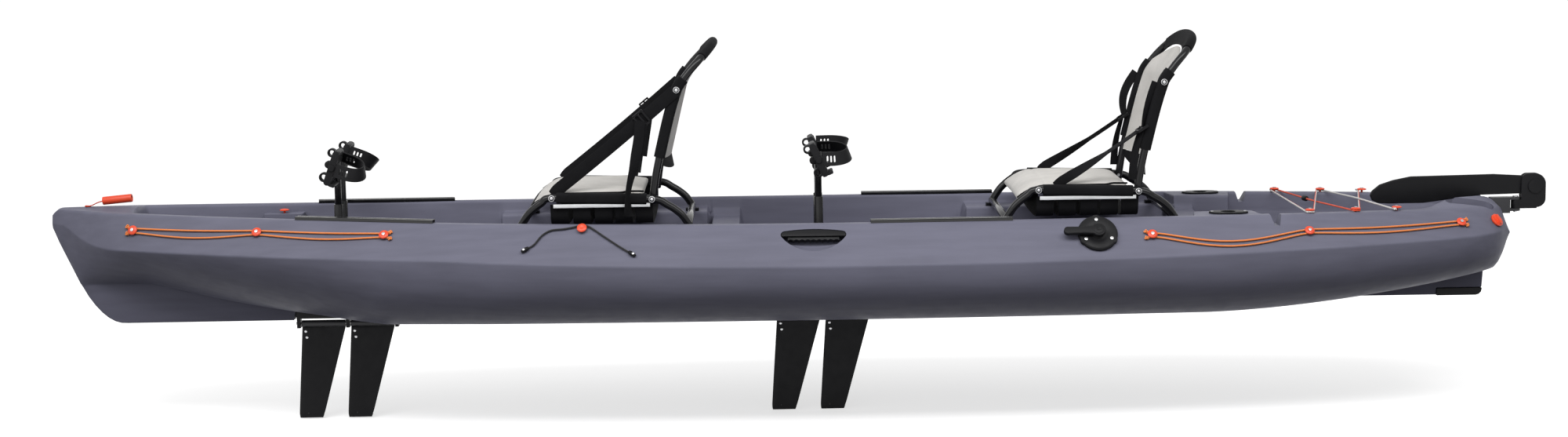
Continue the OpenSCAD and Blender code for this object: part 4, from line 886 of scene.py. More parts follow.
# Heights and sizes along a toggle, then profiles of (radius, height)
TOGGLE = [(0, 0.6), (3, 0.85), (8, 1.0), (17, 1.0), (21, 0.8), (24, 0.45)]
RIVET = [(3.6, 0), (3.6, 0.9), (2.8, 1.4), (1.6, 1.5)]
CORD_LOCK = [(5, -12), (7.6, -10.5), (8.4, -7), (8.4, 5), (7.8, 8), (6, 8.6), (5.4, 12.5), (4.2, 13.6)]
PAD_DOME = [(PAD_R - 1.2, 0), (PAD_R, 0.8), (PAD_R, 2.2), (PAD_R * 0.93, 3.2), (PAD_R * 0.74, 4.3),
            (PAD_R * 0.5, 4.95), (6.4, 5), (5.6, 4.7)]
LEVER_PLATE = [(54, 0.6), (56, 2), (56, 8.2), (54.5, 10.4), (51, 11.8), (30, 12), (28, 11), (19, 11),
               (17, 12), (16, 14)]
LEVER_EAR = [(12, 0.6), (12.5, 2), (12.5, 10.5), (11.2, 12), (7, 12)]
LEVER_CAP = [(15, 28), (15, 29.4), (13, 30.4), (6, 30.6), (5, 29.8), (2, 29.8)]
# Pad and side of each turn of the tank well's lacing
LACING = [(2, RIGHT), (1, LEFT), (0, RIGHT), (0, LEFT), (1, RIGHT), (2, LEFT)]


def hand(side):
    return "left" if side < 0 else "right"


def knots(name, path, slot, back, outward):
    """Overhand knots at both ends of a cord; outward(p) points off the deck."""
    out = []
    for k, (p, q) in enumerate(((path[0], path[1]), (path[-1], path[-2])), 1):
        d, c = unit(p - q), outward(p)
        b, mid = np.cross(c, d), p - back * d + KNOT_LIFT * c
        line = [mid + KNOT_SIZE * ((sin(t) + 2 * sin(2 * t)) * d + (cos(t) - 2 * cos(2 * t)) * b
                                   - 1.1 * sin(3 * t) * c)
                for t in linspace(0, 2 * pi, 36, endpoint=False)]
        out.append(build(f"{name}_knot_{k}", [sweep(line, ring(KNOT_R, 8), closed=True)], slot, "hull"))
    return out


def cord_piece(name, path, slot, node):
    obj = build(name, [sweep(path, ring(CORD_R, 12), dome=2.2)], slot, "hull", [node])
    length_of(path) * MM


def cord_place(x, t, side):
    return panel_point(x, t, side) + CORD_LIFT * panel_out(x, t, side)[1]


def strand(pads, sags, side, way):
    """Line of one bungee strand over its pads; way is 1 above the stems and -1 below."""
    steps, out = 14, []
    for i in (0, 1):
        (x0, t0), (x1, t1) = pads[i], pads[i + 1]
        for u in np.arange(steps + i) / steps:
            x = x0 + (x1 - x0) * u
            dip = sags[i] * sin(pi * u) ** 1.3 * 0.93
            up = t0 + (t1 - t0) * u + (way * CORD_OFF - dip) / norm(panel_rise(x, side))
            out.append(cord_place(x, up, side))
    first, last = [cord_place(x + reach, t + way * (CORD_OFF + 5) / norm(panel_rise(x, side)), side)
                   for (x, t), reach in ((pads[0], -22), (pads[2], 22))]
    return [first, mix(first, out[0], 0.5), *out, mix(last, out[-1], 0.5), last]


def make_bungees():
    for end, (pads, *sags) in BUNGEES.items():
        for s in SIDES:
            for way, sag, level in ((1, sags[0], "upper"), (-1, sags[1], "lower")):
                path = strand(pads, sag, s, way)
                name = f"{end}_bungee_{hand(s)}_{level}"
                ends = knots(name, path, "orange_cord", 5, lambda p: panel_out(p[0], 0.55, s)[1])
                cord_piece(name, path, "orange_cord", "side_bungees")


def make_paddle_holder():
    path = spline([cord_place(x, t, LEFT) for x, t in PADDLE_ROUTE], 5)
    ends = []
    for k, (p, q) in enumerate(((path[0], path[2]), (path[-1], path[-3])), 1):
        d, c = unit(p - q), panel_out(p[0], 0.4, LEFT)[1]
        base = p + 2.0 * c
        body = sweep([base + d * h for h, _ in TOGGLE], ring(6, 16), sizes=[r for _, r in TOGGLE])
        rivet = lathe(RIVET, 18, facing(base + d * 16 + 5.2 * c, c))
        ends += [build(f"paddle_toggle_{k}", [body], "black_plastic", "hull", ["paddle_holder"]),
                 build(f"paddle_rivet_{k}", [rivet], "steel", "hull")]
    cord_piece("paddle_cord", path, "black_cord", "paddle_holder")


def lacing_turn(i):
    """Places of the cord round one pad; the first and last only pass it."""
    off = 4 * CORD_R + 0.3
    k, s = LACING[i]
    c = rim_point(TANK_PADS[k], s) + CORD_LIFT * Z_AXIS
    along = off * X_AXIS * (1 if i == 0 or TANK_PADS[LACING[i - 1][0]] > TANK_PADS[k] else -1)
    out = s * Y_AXIS
    if i == 0:
        return [c + 18 * out - along, c - along]
    if i == len(LACING) - 1:
        return [c + along, c + 18 * out + along]
    out = off * out
    return [c + along, c + 0.7 * (along + out), c + out, c + 0.7 * (out - along), c - along]


def make_tank_bungee():
    rise = CORD_R + 0.6
    points = lacing_turn(0)
    for i, lift in enumerate((-rise, -rise, 0, rise, rise)):
        turn = lacing_turn(i + 1)
        p, q = points[-1], turn[0]
        points += [mix(p, q, u) + lift * (1 - abs(2 * u - 1)) * Z_AXIS for u in (0.25, 0.5, 0.75)] + turn
        if i == 1:
            lock = facing(mix(p, q, 0.62) + lift * 0.76 * Z_AXIS, q - p, Z_AXIS)
    path = spline(points, 4)
    ends = [build("tank_cord_lock", [lathe(CORD_LOCK, 28, lock)], "black_plastic", "hull")]
    ends += knots("tank", path, "red_cord", 3, lambda p: Z_AXIS)
    cord_piece("tank_cord", path, "red_cord", "tank_bungee")


def make_pads():
    places = []
    for s in SIDES:
        places += [on_panel(x, t, s) for x, t in BOW_PADS + STERN_PADS]
        places += [at(*rim_point(x, s)) for x in TANK_PADS] + [at(SHELF_X, s * SHELF_Y, SHELF_TOP)]
    profile = [(STEM_R, GAP), (STEM_R, DOME_LOW)] + [(r, DOME_LOW + z) for r, z in PAD_DOME]
    parts = [lathe(profile, 36, m) for m in places + [on_panel(*KNOB, LEFT)]]
    build("bungee_pad_set", parts, "red_plastic", "hull", ["bungee_pads"])


def make_lever():
    m = on_panel(*LEVER, LEFT)
    ears = [lathe(LEVER_EAR, 28, m @ at(*p, 0)) for p in arc(46, 90, 330, 2)]
    build("lever_plate", [lathe(LEVER_PLATE, 64, m), *ears], "black_plastic", "hull", ["lever_base"])
    arm = (arc(20, -140, 140, 24) + [(-40, 10.5), (-84, 11.5)] + arc(12, 100, 260, 12, -86)
           + [(-84, -11.5), (-40, -10.5)])
    build("lever_arm", [prism(arm, 14.8, 28.6, m)], "black_plastic", "lever", ["steering_lever"],
          bevel=(3.5, 3))
    build("lever_cap", [lathe(LEVER_CAP, 40, m)], "black_plastic", "lever")


def housing_form():
    """Side view of the rudder housing with its round after corners, drawn out across the boat."""
    low, high = [np.array(c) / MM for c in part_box("rudder_housing")]
    fore, aft, top = low[0] - 5, high[0] + 0.2, high[2] + 0.2
    line = [(fore, low[2] - 5), (aft - 26, low[2] - 5), *arc(26, -90, 0, 12, aft - 26, top - 100 + 26),
            *arc(32, 0, 90, 12, aft - 32, top - 32), (fore, top)]
    return solid("housing_form", [prism(line, -80, 80, SIDEWAYS)])


make_bungees()
make_paddle_holder()
make_tank_bungee()
make_lever()
build("side_grips_look", [p for s in SIDES for p in hand_grip(s)], "black_plastic", "hull", ["side_grips"],
      bevel=(1, 2))
make_pads()
for node, slot, bevel in (
        ("skid_plate", "black_plastic", 2.5), ("gear_rails", "black_aluminium", 0.5),
        ("rod_holders", "black_plastic", 0.8), ("deck_screws", "steel", 0.4),
        ("bow_handle", "red_plastic", 2), ("drain_plug", "red_plastic", 0.8),
        ("rudder_bracket", "grey_metal", 1), ("rudder_pin", "steel", 0.5),
        ("rudder_bolt", "black_plastic", 1), ("crank_shafts", "steel", 0.6),
        ("fin_shafts", "steel", 0.4), ("seat_rails", "silver_aluminium", 0.8)):
    refine(node, slot, bevel)
refine("rudder_housing", "black_plastic", 1.6, trim=housing_form())


# Seats, x is the front bolt

TUBE_R, SEAT_HALF, BACK_HALF, SEAT_LEN, SEAT_H, BACK_H = 11, 218, 192, 285, 374, 430
PIVOT_Z = SEAT_H - 7
FOOT_Z = BENCH_H + GAP + 5 + TUBE_R
FRONT_FOOT, REAR_FOOT = -92, SEAT_LEN + 103
BACK_KNOTS = [(-14, 0), (0, 0), (130, 26), (308, 75), (350, 105), (BACK_H, 178)]
ARCH = [(-14, 1), (60, 1), (130, 1), (220, 1), (300, 1), (BACK_H - 80, 0.985), (BACK_H - 38, 0.88),
        (BACK_H - 9, 0.56)]
PAN_FORE, PAN_AFT, PAN_DROOP, PAN_BEND, PAN_CROWN = -58, SEAT_LEN - 26, 32, 26, 15
PAN_NECK, PAN_NECK_RUN = SEAT_LEN - 88, 18
SEAM_X, SEAM_Y, SEAM_W, SEAM_DEPTH = 20, 148, 4.5, 2.4
PANEL_TOP, PANEL_PEAK, PANEL_SAG = 346, 394, 29
WEB_T, WEB_W = 2.4, 36
BACK_BOLT_Z = 308
# Lower edges of the back panel and of the flap under it
FLAPS = {"front": (108, 72), "rear": (78, 26)}
# Low end of each strap from the front bolt, and its top on the back
STRAPS = {"front": (6, BACK_BOLT_Z), "rear": (56, 180)}
# Places across and below the seat's top of the slings under the pan, real webbing hung wide and low so its
# black also stands as painted shade there
SHADE_SLING = [(212, 20), (210, 40), (204, 64), (178, 79), (80, 83)]
BOLT_HEAD = [(9, 0.3), (9.2, 2.2), (8.4, 2.9), (7.2, 2.9), (6.8, 0.3), (4.6, 0.3), (4.4, 3.8), (3.4, 4.6),
             (0.6, 4.8)]
# Front strap tails from the buckle, y outboard
SHORT_TAIL = [(0, 2, -4), (-5, 5, -45), (-14, 6, -100), (-22, 5, -150)]
LONG_TAIL = [(-4, 6, -6), (-10, 9, -60), (-24, 14, -130), (-40, 25, -196), (-43, 29, -250), (-41, 29, -275)]


def back_line(z):
    return curve(BACK_KNOTS, z)


def back_point(x, y, z, ahead=0.0):
    """Place on the line of the seat back, z above its pivot and ahead of the tube."""
    return np.array([x + SEAT_LEN + back_line(z) - ahead, y, PIVOT_Z + z])


def arch_path(x):
    half = [(BACK_HALF * k, z) for z, k in ARCH]
    return spline([back_point(x, *p) for p in half + [(0, BACK_H)] + [(-y, z) for y, z in half[::-1]]], 6)


def webbing(path, w, h, across=Y_AXIS, **more):
    return sweep(path, rounded(w, h, 1, 2), across, **more)


def sleeve(name, side, line, body, w, h):
    outline = rounded(2 * TUBE_R + w, 2 * TUBE_R + h, 9, 5)
    build(f"{name}_sleeve_{hand(side)}", [sweep(line, outline, Y_AXIS, dome=1.5)], "black_webbing", body)


def base_frame(name, x):
    z = FOOT_Z
    side = spline([(FRONT_FOOT, 0, z), (-66, 0, z + 38), (-30, 0, SEAT_H - 14), (0, 0, SEAT_H),
                   (SEAT_LEN / 2, 0, (SEAT_H + PIVOT_Z) / 2), (SEAT_LEN, 0, PIVOT_Z),
                   (SEAT_LEN + 45, 0, PIVOT_Z - 18), (SEAT_LEN + 82, 0, z + 30), (REAR_FOOT, 0, z)], 8)
    tube, low = ring(TUBE_R, 24), BENCH_H + GAP
    parts = [sweep([p + (x, s * SEAT_HALF, 0) for p in side], tube, Y_AXIS) for s in SIDES]
    for f in (FRONT_FOOT, REAR_FOOT):
        parts.append(sweep([(x + f, -SEAT_HALF - 4, z), (x + f, SEAT_HALF + 4, z)], tube, dome=4))
        parts += [prism(rounded(40, 28, 6), low, low + 9, at(x + f, s * SEAT_HALF, 0)) for s in SIDES]
    build(name + "_frame", parts, "black_tube", "hull", [name])


def pan_half(x):
    k = clamp((x - PAN_NECK) / PAN_NECK_RUN, 0, 1)
    return (SEAT_HALF - TUBE_R - GAP) * (1 - k) + (BACK_HALF - TUBE_R - 3) * k


def pan_droop(x):
    return PAN_DROOP * np.clip((PAN_BEND - x) / (PAN_BEND - PAN_FORE), 0, 1) ** 2


def pan_point(u, v, top):
    """Place on the seat pan from its front bolt; u runs from the nose to the back, v across."""
    x = PAN_FORE + (PAN_AFT - PAN_FORE) * u
    crown = PAN_CROWN * (1 - v ** 4) * (1 - (2 * u - 1) ** 10)
    z = 9 + crown - pan_droop(x) if top else -6 - 0.92 * pan_droop(x)
    return np.array([x, v * pan_half(x), SEAT_H + z])


def coords(mesh):
    out = np.empty(3 * len(mesh.vertices))
    mesh.vertices.foreach_get("co", out)
    return out.reshape(-1, 3)


def inflate(obj, held, cap):
    """Padded cloth: swells the piece, held where held(x, y) says; no point moves more than cap."""
    rest, last = coords(obj.data), 20
    group = obj.vertex_groups.new(name="held")
    group.add([i for i, p in enumerate(rest) if held(*p[:2] / MM)], 1.0, "REPLACE")
    cloth = obj.modifiers.new("cloth", "CLOTH")
    cloth.point_cache.frame_start, cloth.point_cache.frame_end = 1, last
    settings = cloth.settings
    settings.vertex_group_mass = group.name
    settings.use_pressure, settings.uniform_pressure_force = True, 4.0
    settings.effector_weights.gravity = 0.0
    for f in range(1, last + 1):
        scene.frame_set(f)
    step = coords(obj.evaluated_get(bpy.context.evaluated_depsgraph_get()).data) - rest
    scene.frame_set(1)
    obj.modifiers.clear()
    far = norm(step, axis=1, keepdims=True)
    rest += step * np.minimum(1, cap * MM / np.maximum(far, 1e-9))
    obj.data.vertices.foreach_set("co", rest.ravel())


def pan_mesh():
    """Padded seat pan at the front bolt, with sewn lines across its nose and along its sides."""
    n = 28
    low, top = [[[pan_point(i / n, 2 * j / n - 1, t) for j in range(n + 1)] for i in range(n + 1)]
                for t in (0, 1)]
    obj = solid("seat_pan_pad", [slab(low, top)])
    m = obj.modifiers.new("grain", "REMESH")
    m.mode, m.voxel_size = "VOXEL", 0.005
    applied(obj)
    inflate(obj, lambda x, y: abs(y) > pan_half(x) - 9 or x > PAN_AFT - 9, 7)
    p = coords(obj.data)
    x, y = p[:, 0] / MM, np.abs(p[:, 1]) / MM
    upper = p[:, 2] / MM > SEAT_H - 4 - pan_droop(x)
    sewn = np.exp(-((x - SEAM_X) / SEAM_W) ** 2) + np.exp(-((y - SEAM_Y) / SEAM_W) ** 2) * (x > SEAM_X)
    p[:, 2] -= np.where(upper, SEAM_DEPTH * MM * np.minimum(sewn, 1), 0)
    obj.data.vertices.foreach_set("co", p.ravel())
    obj.modifiers.new("fine", "SUBSURF").levels = 1
    applied(obj)
    mesh = taken(obj)
    uvs = [c for loop in mesh.loops for c in mesh.vertices[loop.vertex_index].co[:2]]
    mesh.uv_layers.new(name="UVMap").data.foreach_set("uv", uvs)
    return mesh


def seat_pan(name, x, pad):
    mesh = pad.copy()
    mesh.transform(Matrix.Translation((x * MM, 0, 0)))
    place(mesh, name + "_cushion", "seat_fabric", "hull", [name], 60)
    for s in SIDES:
        line = [pan_point(u, s * 0.985, True) + (x, 0, 1.4) for u in linspace(0, 1, 40)]
        build(f"{name}_piping_{hand(s)}", [sweep(line, ring(2.6, 10), dome=2)], "black_webbing", "hull")
        line = [(x + q, s * SEAT_HALF, SEAT_H - 7 * q / SEAT_LEN) for q in linspace(14, SEAT_LEN - 16, 14)]
        sleeve(name, s, line, "hull", 7, 9)
    # The slings are real pan webbing, made five wide bands so that their black also paints the shade under
    # the seat.
    hang = [(-y, d) for y, d in SHADE_SLING] + [(0, 84)] + SHADE_SLING[::-1]
    slings_as_shade = [webbing(spline([(x + q, y, SEAT_H - d) for y, d in hang], 4), 50, WEB_T, X_AXIS)
              for q in (20, 84, 146, 204, 262)]
    build(name + "_slings_and_painted_shade", slings_as_shade, "black_webbing", "hull", sharp=50)


def back_frame(name, x, body):
    path = arch_path(x)
    build(name + "_tube", [sweep(path, ring(TUBE_R, 24), X_AXIS, dome=5)], "black_tube", body, [name])
    up = unit((back_line(BACK_H) - back_line(350), 0, BACK_H - 350))
    wrap = arc(13.4, 0, -180, 12) + [(-12, 6), (-6, 24), (-1.6, 40), (1.6, 40), (6, 24), (12, 6)]
    path = [p for p in path if p[2] > PIVOT_Z + 392]
    build(name + "_head_band", [sweep(path, wrap, (-up[2], 0, up[0]))], "black_webbing", body, sharp=60)


def hung(name, x, body, low, high, sag, slot, nodes=()):
    """Cloth slung between the tubes of a seat back, from low(v) to high(v); sag(t, v) lets it hang aft."""
    n, m = 30, 26
    grids = [[], []]
    for t in np.arange(n + 1) / n:
        rows = [[], []]
        for v in 2 * np.arange(m + 1) / m - 1:
            z = low(v) + (high(v) - low(v)) * t
            slope = (back_line(z + 2) - back_line(z - 2)) / 4
            half = BACK_HALF * curve(ARCH, min(z, ARCH[-1][0]))
            p = back_point(x, v * (half - TUBE_R - GAP - 1), z, -sag(t, v))
            for row, k in zip(rows, (-1.8, 1.8)):
                row.append(p + k * unit((1, 0, -slope)))
        for grid, row in zip(grids, rows):
            grid.append(row)
    obj = build(name, [slab(*grids)], slot, body, nodes, sharp=60)
    g = np.array(grids[0], float)
    area = norm(np.cross(g[1:, :-1] - g[:-1, :-1], g[:-1, 1:] - g[:-1, :-1]), axis=2).sum()
    tall = length_of(list(g[:, m // 2]))


def seat_back(name, x, body, low, flap):
    hung(name + "_panel", x, body, lambda v: low,
         lambda v: PANEL_TOP + (PANEL_PEAK - PANEL_TOP) * (1 - v * v),
         lambda t, v: PANEL_SAG * (1 - v * v) * (1 - 0.8 * t ** 4), "seat_fabric", [name])
    hung(name + "_flap", x, body, lambda v: flap + 0.75 * (low - flap) * abs(v) ** 3, lambda v: low - 1,
         lambda t, v: (PANEL_SAG + 14 * (1 - t)) * (1 - v * v), "black_webbing")
    for s in SIDES:
        sleeve(name, s, [back_point(x, s * BACK_HALF, z) for z in linspace(116, 338, 26)], body, 6, 10)
        m = facing(back_point(x, s * (BACK_HALF + TUBE_R + 4.6), BACK_BOLT_Z), s * Y_AXIS)
        build(f"{name}_bolt_{hand(s)}", [lathe(BOLT_HEAD, 32, m)], "steel", body)


def seat_bolts():
    out = SEAT_HALF + TUBE_R
    holes = ((0, SEAT_H, SEAT_HALF - TUBE_R), (SEAT_LEN, PIVOT_Z, BACK_HALF - TUBE_R - 4))
    parts = [lathe([(4, inner - out), (4, 0.3), *BOLT_HEAD], 32, facing((x + dx, s * out, z), s * Y_AXIS))
             for x in SEATS.values() for s in SIDES for dx, z, inner in holes]
    build("seat_bolt_set", parts, "steel", "hull", ["seat_bolts"])


def buckle(centre, along, out):
    """Ladder buckle for a strap that runs along, its face turned out."""
    m = facing(centre, out, along)
    bars = [prism(rounded(5, 44, 2, 3), -4, 4, m @ at(q, 0, 0)) for q in (-15, 0, 15)]
    return bars + [prism(rounded(35, 5, 2, 3), -4, 4, m @ at(0, q, 0)) for q in (-20, 20)]


def bridged(name, parts, slot, body, start, end, nodes=(), **looks):
    """A piece from start on the hull to end on a seat back, built where it stands on no body; start and end
    are not used.
    """
    obj = build(name, parts, slot, None, nodes, **looks)
    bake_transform(obj)


def rear_tails(name, x, body, s, top_z):
    """The rear strap's tail down to the pan, and its riser up to the bolt."""
    steps = linspace(0, 1, 28)
    bow = 2 if s < 0 else 16
    aft = [back_point(x, s * (BACK_HALF + 4 * t), top_z + (BACK_BOLT_Z - top_z) * t, 21 + bow * sin(pi * t))
           for t in steps]
    tail = [back_point(x, s * (BACK_HALF + 2), top_z - 150 * t, 24 - 6 * t + 5 * sin(pi * t))
            for t in steps]
    web = webbing(tail, 24, WEB_T, turns=[s * (30 + 45 * t) for t in steps])
    bridged(f"{name}_tail_{hand(s)}", [web], "black_webbing", body, tail[-1], tail[0], sharp=50)
    web = webbing(aft, 26, WEB_T, turns=[s * (20 + 60 * t ** 0.6) for t in steps])
    build(f"{name}_riser_{hand(s)}", [web], "black_webbing", body, sharp=50)


def front_tails(name, body, s, hold, low, top):
    """The front strap's two loose tails, which hang from its buckle."""
    short, long = [spline([hold + (dx, s * dy, dz) for dx, dy, dz in line], 8)
                   for line in (SHORT_TAIL, LONG_TAIL)]
    turns = [s * 62 * sin(pi * clamp((q - 0.3) / 0.7, 0, 1)) ** 0.7 for q in linspace(0, 1, len(long))]
    tails = [webbing(short, WEB_T, 33), webbing(long, WEB_T, 30, turns=turns)]
    bridged(f"{name}_tail_{hand(s)}", tails, "black_webbing", body, low, top, sharp=50)


def seat_straps(name, x, body, low_x, top_z):
    """Straps from the pan to the back; the rear seat's are narrower and turn on their way up."""
    rear = top_z < BACK_BOLT_Z
    for s in SIDES:
        low = np.array([x + low_x + 12, s * (BACK_HALF + 12.6), SEAT_H + TUBE_R + WEB_W / 2 - 6])
        top = back_point(x, s * (BACK_HALF if rear else BACK_HALF + 16), top_z - 4, 23 if rear else 4)
        d = unit(top - low)
        turn = s * (80 if s < 0 else 58) if rear else 0
        steps = linspace(0, 1, 40)
        line = [low - 24 * d, low - 12 * d] + [mix(low, top, u) - 4 * sin(pi * u) * Z_AXIS for u in steps]
        web = webbing(line, WEB_T, 28 if rear else WEB_W, sizes=[0.7, 0.9] + [1.0] * 40,
                      turns=[0, 0] + [turn * clamp((u - 0.06) / 0.5, 0, 1) ** 0.8 for u in steps])
        bridged(f"{name}_web_{hand(s)}", [web], "black_webbing", body, low, top, [name], sharp=50)
        buckle_name = f"{name}_buckle_{hand(s)}"
        if rear:
            rear_tails(name, x, body, s, top_z)
            build(buckle_name, buckle(top, d, (-d[2], 0, d[0])), "black_plastic", body, bevel=(1, 2))
            continue
        hold = mix(low, top, 0.72) + (0, s * 3.4, 0)
        bridged(buckle_name, buckle(hold, d, s * Y_AXIS), "black_plastic", body, low, top, bevel=(1, 2))
        front_tails(name, body, s, hold, low, top)


pad = pan_mesh()
for end, x in SEATS.items():
    body = end + "_seat_back"
    base_frame(end + "_seat_base", x)
    seat_pan(end + "_seat_pan", x, pad)
    back_frame(end + "_seat_back_frame", x, body)
    seat_back(end + "_seat_back", x, body, *FLAPS[end])
    seat_straps(end + "_seat_straps", x, body, *STRAPS[end])
seat_bolts()


# Pedal drives, x is the crank shaft

AXLE_Z, CRANK_Y, POST_R, PEDAL_W, PEDAL_H, PEDAL_T, GUIDE_W = 461, 42, 10, 88, 104, 20, 22
LEANS = {"front": 20, "rear": -24}
# Height, outer radius and bore of the rollers ahead of a pedal
GUIDES = ((38, 13, 7.5), (2, 11, 0), (-37, 14, 8))
# Height, length and width of the bars across a pedal
BARS = ((-47, 18, 10), (47, 18, 10), (0, 19, 24), (24, 15, 7), (-24, 15, 7))
PEDAL_CAP = [(9, 0), (9.5, 1), (9.5, 4), (8, 5.6), (3, 6)]
STRAP_W, STRAP_T, SLOT_W, SLOT_H, SLOT_PITCH, SLOTS = 40, 4, 4.6, 20.0, 10.0, 3
FOOT_REACH, FOOT_SKEW, FOOT_MID = 78, 16, 14
FOOT_DROOP = {"front": 0, "rear": 0.42}
FIN_AXIS, DRUM_R, FIN_H, FIN_ROOT, FIN_TIP, FIN_T = -12, 10, 272, 128, 74, 15
FIN_RAKE, RIBS, RIB_H = 18, 13, 0.6
FINS = {"fore": -127, "aft": 17}
# Half of a fin's section: share of the chord and of the thickness
FOIL = [(0, 0), (0.02, 0.28), (0.07, 0.5), (0.18, 0.5), (0.35, 0.42), (0.55, 0.3), (0.78, 0.18), (1, 0.09)]
FIN_SCREW = [(4, 0), (4, 1.2), (3, 2.2), (1, 2.4)]


def pedal_frame(end, side):
    c, s = cos(radians(LEANS[end])), sin(radians(LEANS[end]))
    m = at(DRIVES[end], side * (CRANK_Y + POST_R + 5 + PEDAL_W / 2), AXLE_Z)
    m[:3, :3] = [[c, 0, s], [0, 1, 0], [-s, 0, c]]
    return m


def pedal(name, side, m):
    def crossways(x, y, z):
        """Place on the pedal whose local x and y are the pedal's x and z."""
        return m @ at(x, y, z) @ SIDEWAYS

    upright = [(b, a) for a, b in oval(PEDAL_H, PEDAL_T, 10)]
    parts = [prism(upright, -6, 6, crossways(0, s * 38, 0)) for s in SIDES]
    parts += [prism(rounded(long, wide, wide / 2 - 0.5, 4), -37, 37, crossways(0, 0, z))
              for z, long, wide in BARS]
    parts.append(prism(rounded(18, 8, 3.5, 4), -43, 43, crossways(15, 0, -48)))
    parts += [prism(rounded(4, 92, 1.5, 2), -2.2, 2.2, crossways(9, k * 9.5, 0)) for k in range(-3, 4)]
    for z, outer, bore in GUIDES:
        mid = crossways(-PEDAL_T / 2 - outer / 2, 0, z)
        if bore:
            loop = placed(mid, [(*q, 0) for q in ring((outer + bore) / 2, 28)])
            parts.append(sweep(loop, rounded(GUIDE_W, outer - bore, 2, 3), mid[:3, 2], closed=True))
        else:
            knob = [(outer - r, h - GUIDE_W / 2) for r, h in ((2.5, 0), (0.7, 0.7), (0, 2.5))]
            parts.append(lathe(knob + [(r, -h) for r, h in knob[::-1]], 28, mid))
    build(name + "_body", parts, "drive_plastic", name, [name], bevel=(0.8, 2, 50))
    cap = lathe(PEDAL_CAP, 28, facing((m @ (0, side * 44, 0, 1))[:3], side * Y_AXIS))
    build(name + "_cap", [cap], "black_plastic", name)


def perforated(path, across):
    """A strap with slots near its two ends, as one closed mesh."""
    total = length_of(path)
    cells = max(3, int(round(total / SLOT_PITCH)))
    run = np.concatenate([[0], np.cumsum([norm(b - a) for a, b in zip(path, path[1:])])])
    frames = carried(path, across)
    points, faces, index = [], [], {}

    def point(s, w, lift):
        s = clamp(s, 0, total)
        i = int(clamp(np.searchsorted(run, s) - 1, 0, len(path) - 2))
        k = (s - run[i]) / max(run[i + 1] - run[i], 1e-9)
        m, b = [unit(mix(frames[i][q], frames[i + 1][q], k)) for q in (1, 2)]
        return mix(path[i], path[i + 1], k) + w * m + lift * b

    def vert(s, w, layer):
        key = (round(s, 3), round(w, 3), layer)
        if key not in index:
            index[key] = len(points)
            points.append(point(s, w, (layer - 0.5) * STRAP_T))
        return index[key]

    def wall(a, b):
        faces.append([vert(*a, 0), vert(*b, 0), vert(*b, 1), vert(*a, 1)])

    around = [(-1, -1), (0, -1), (1, -1), (1, 0), (1, 1), (0, 1), (-1, 1), (-1, 0)]
    half = total / cells / 2
    for c in range(cells):
        mid = (2 * c + 1) * half
        outer = [(mid + i * half, j * STRAP_W / 2) for i, j in around]
        inner = [(mid + i * SLOT_W / 2, j * SLOT_H / 2 * (0.8 if i else 1)) for i, j in around]
        slotted = 0 < c <= SLOTS or 0 < cells - 1 - c <= SLOTS
        for layer in (0, 1):
            f = [vert(*p, layer) for p in outer]
            cell = [f]
            if slotted:
                q = [vert(*p, layer) for p in inner]
                cell = [[f[k - 1], f[k], q[k], q[k - 1]] for k in (*range(1, 8), 0)]
            faces += [face[::1 if layer else -1] for face in cell]
        if slotted:
            for k in range(8):
                wall(inner[k], inner[(k + 1) % 8])
        for k in (0, 1, 4, 5) + ((6, 7) if c == 0 else ()) + ((2, 3) if c == cells - 1 else ()):
            wall(outer[k], outer[(k + 1) % 8])
    return points, faces, None


def foot_strap(name, end, side, body, m):
    y, start, skew = PEDAL_W / 2 - 4, PEDAL_T / 2 + GAP, side * FOOT_SKEW
    local = [(start, -y, FOOT_MID + skew)]
    for a in np.radians(np.arange(0, 181, 12)):
        out = FOOT_REACH * (0.35 + 0.65 * sin(a))
        local.append((start + out, -y * cos(a), FOOT_MID + skew * cos(a) - FOOT_DROOP[end] * out))
    local.append((start, y, FOOT_MID - skew))
    band = perforated(placed(m, spline(local, 2)), (m @ (0, 0, 1, 0))[:3])
    build(name + "_band", [band], "black_rubber", body, [name], sharp=35, bevel=(0.6, 1))


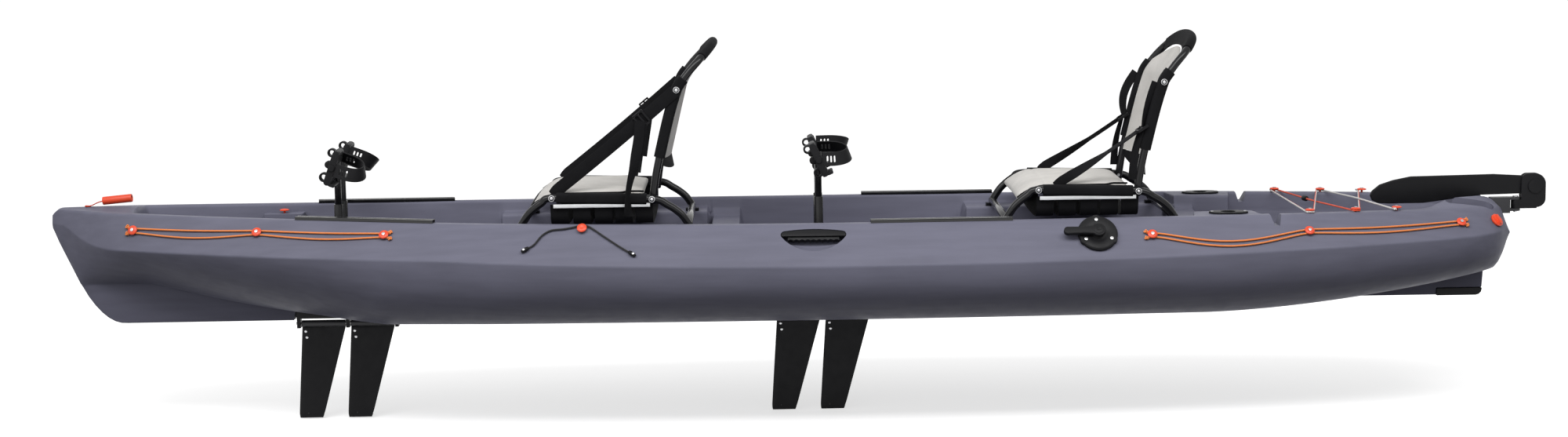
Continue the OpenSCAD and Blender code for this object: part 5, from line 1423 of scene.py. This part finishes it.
def fin(name, x):
    """Ribbed fin with its section thinner to the tip; u runs down its height."""
    top = FIN_AXIS - DRUM_R - GAP
    levels = np.concatenate([[0, 0.012], linspace(0.03, 0.9, 30), [0.93, 0.955, 0.975, 0.99, 1]])
    rings = []
    for u in levels:
        down, cut = min(1, u / 0.956), max(0, (u - 0.9) / 0.1) ** 3
        chord = FIN_ROOT + (FIN_TIP - FIN_ROOT) * down - 7 * cut
        lead = 2 * cut - FIN_RAKE * down
        rib = RIB_H * exp(-(((u * RIBS) % 1 - 0.5) / 0.16) ** 2) if 0.05 < u < 0.9 else 0
        thick = FIN_T * (1 - 0.35 * u) * (1 - 0.6 * cut) * (0.75 if u in (0, 1) else 1)
        rings.append([(x + lead + c * chord, t * thick + (copysign(rib, t) if 0.12 < c < 0.95 else 0),
                       top - u * FIN_H) for c, t in FOIL + [(c, -t) for c, t in FOIL[:0:-1]]])
    build(name + "_blade", [shell(rings)], "fin_plastic", name, [name], sharp=50)
    heads = [lathe(FIN_SCREW, 18, facing((x + dx, s * 7, top - dz), s * Y_AXIS))
             for s in SIDES for dx, dz in ((11, 12), (14, 30))]
    build(name + "_screws", heads, "steel", name)


for end, x in DRIVES.items():
    refine(end + "_drive_housing", "drive_plastic", 3, 3)
    for side in SIDES:
        refine(f"{end}_crank_{hand(side)}", "black_metal", 1.5)
        refine(f"{end}_post_{hand(side)}", "black_metal", 1.2)
        body, m = f"{end}_pedal_{hand(side)}", pedal_frame(end, side)
        pedal(body, side, m)
        foot_strap(f"{end}_foot_strap_{hand(side)}", end, side, body, m)
    for k, dx in FINS.items():
        refine(f"{end}_{k}_mast", "grey_metal", 0.8)
        fin(f"{end}_{k}_fin", x + dx)


# Rudder blade and bow strap

BLADE_PIVOT = (2209, 0, 336)
BLADE = [(18, 26), (-40, 31), (-120, 36), (-364, 33), (-416, 23), (-456, 10), (-478, -8), (-484, -20),
         (-478, -36), (-460, -44.4), (-428, -46.4), (-328, -46.4), (-155, -25), (-40, -23), (10, -23),
         (22, -10), (24, 12)]


def bow_strap():
    start, mid = BOW_X + 94, 52

    def strap_z(d):
        return deck_mid(start + d) + 3 * GAP + 1.5

    def grip_z(d):
        return deck_mid(start + mid) + 12 + 4 + (d - mid) * tan(radians(5))

    heights = [(0, strap_z(0)), (16, strap_z(16)), (36, strap_z(36) * 0.3 + grip_z(36) * 0.7)]
    heights += [(d, grip_z(d)) for d in (58, 100, 134)]
    web = sweep(spline([(start + d, 0, z) for d, z in heights], 6), rounded(3, 15, 1.2, 2))
    build("bow_strap_web", [web], "red_webbing", "bow_grip", ["bow_strap"], sharp=50)


foil = prism(BLADE, -5, 5, at(*BLADE_PIVOT) @ SIDEWAYS)
build("rudder_blade_foil", [foil], "black_plastic", "blade", ["rudder_blade"], bevel=(3.4, 3))
bow_strap()
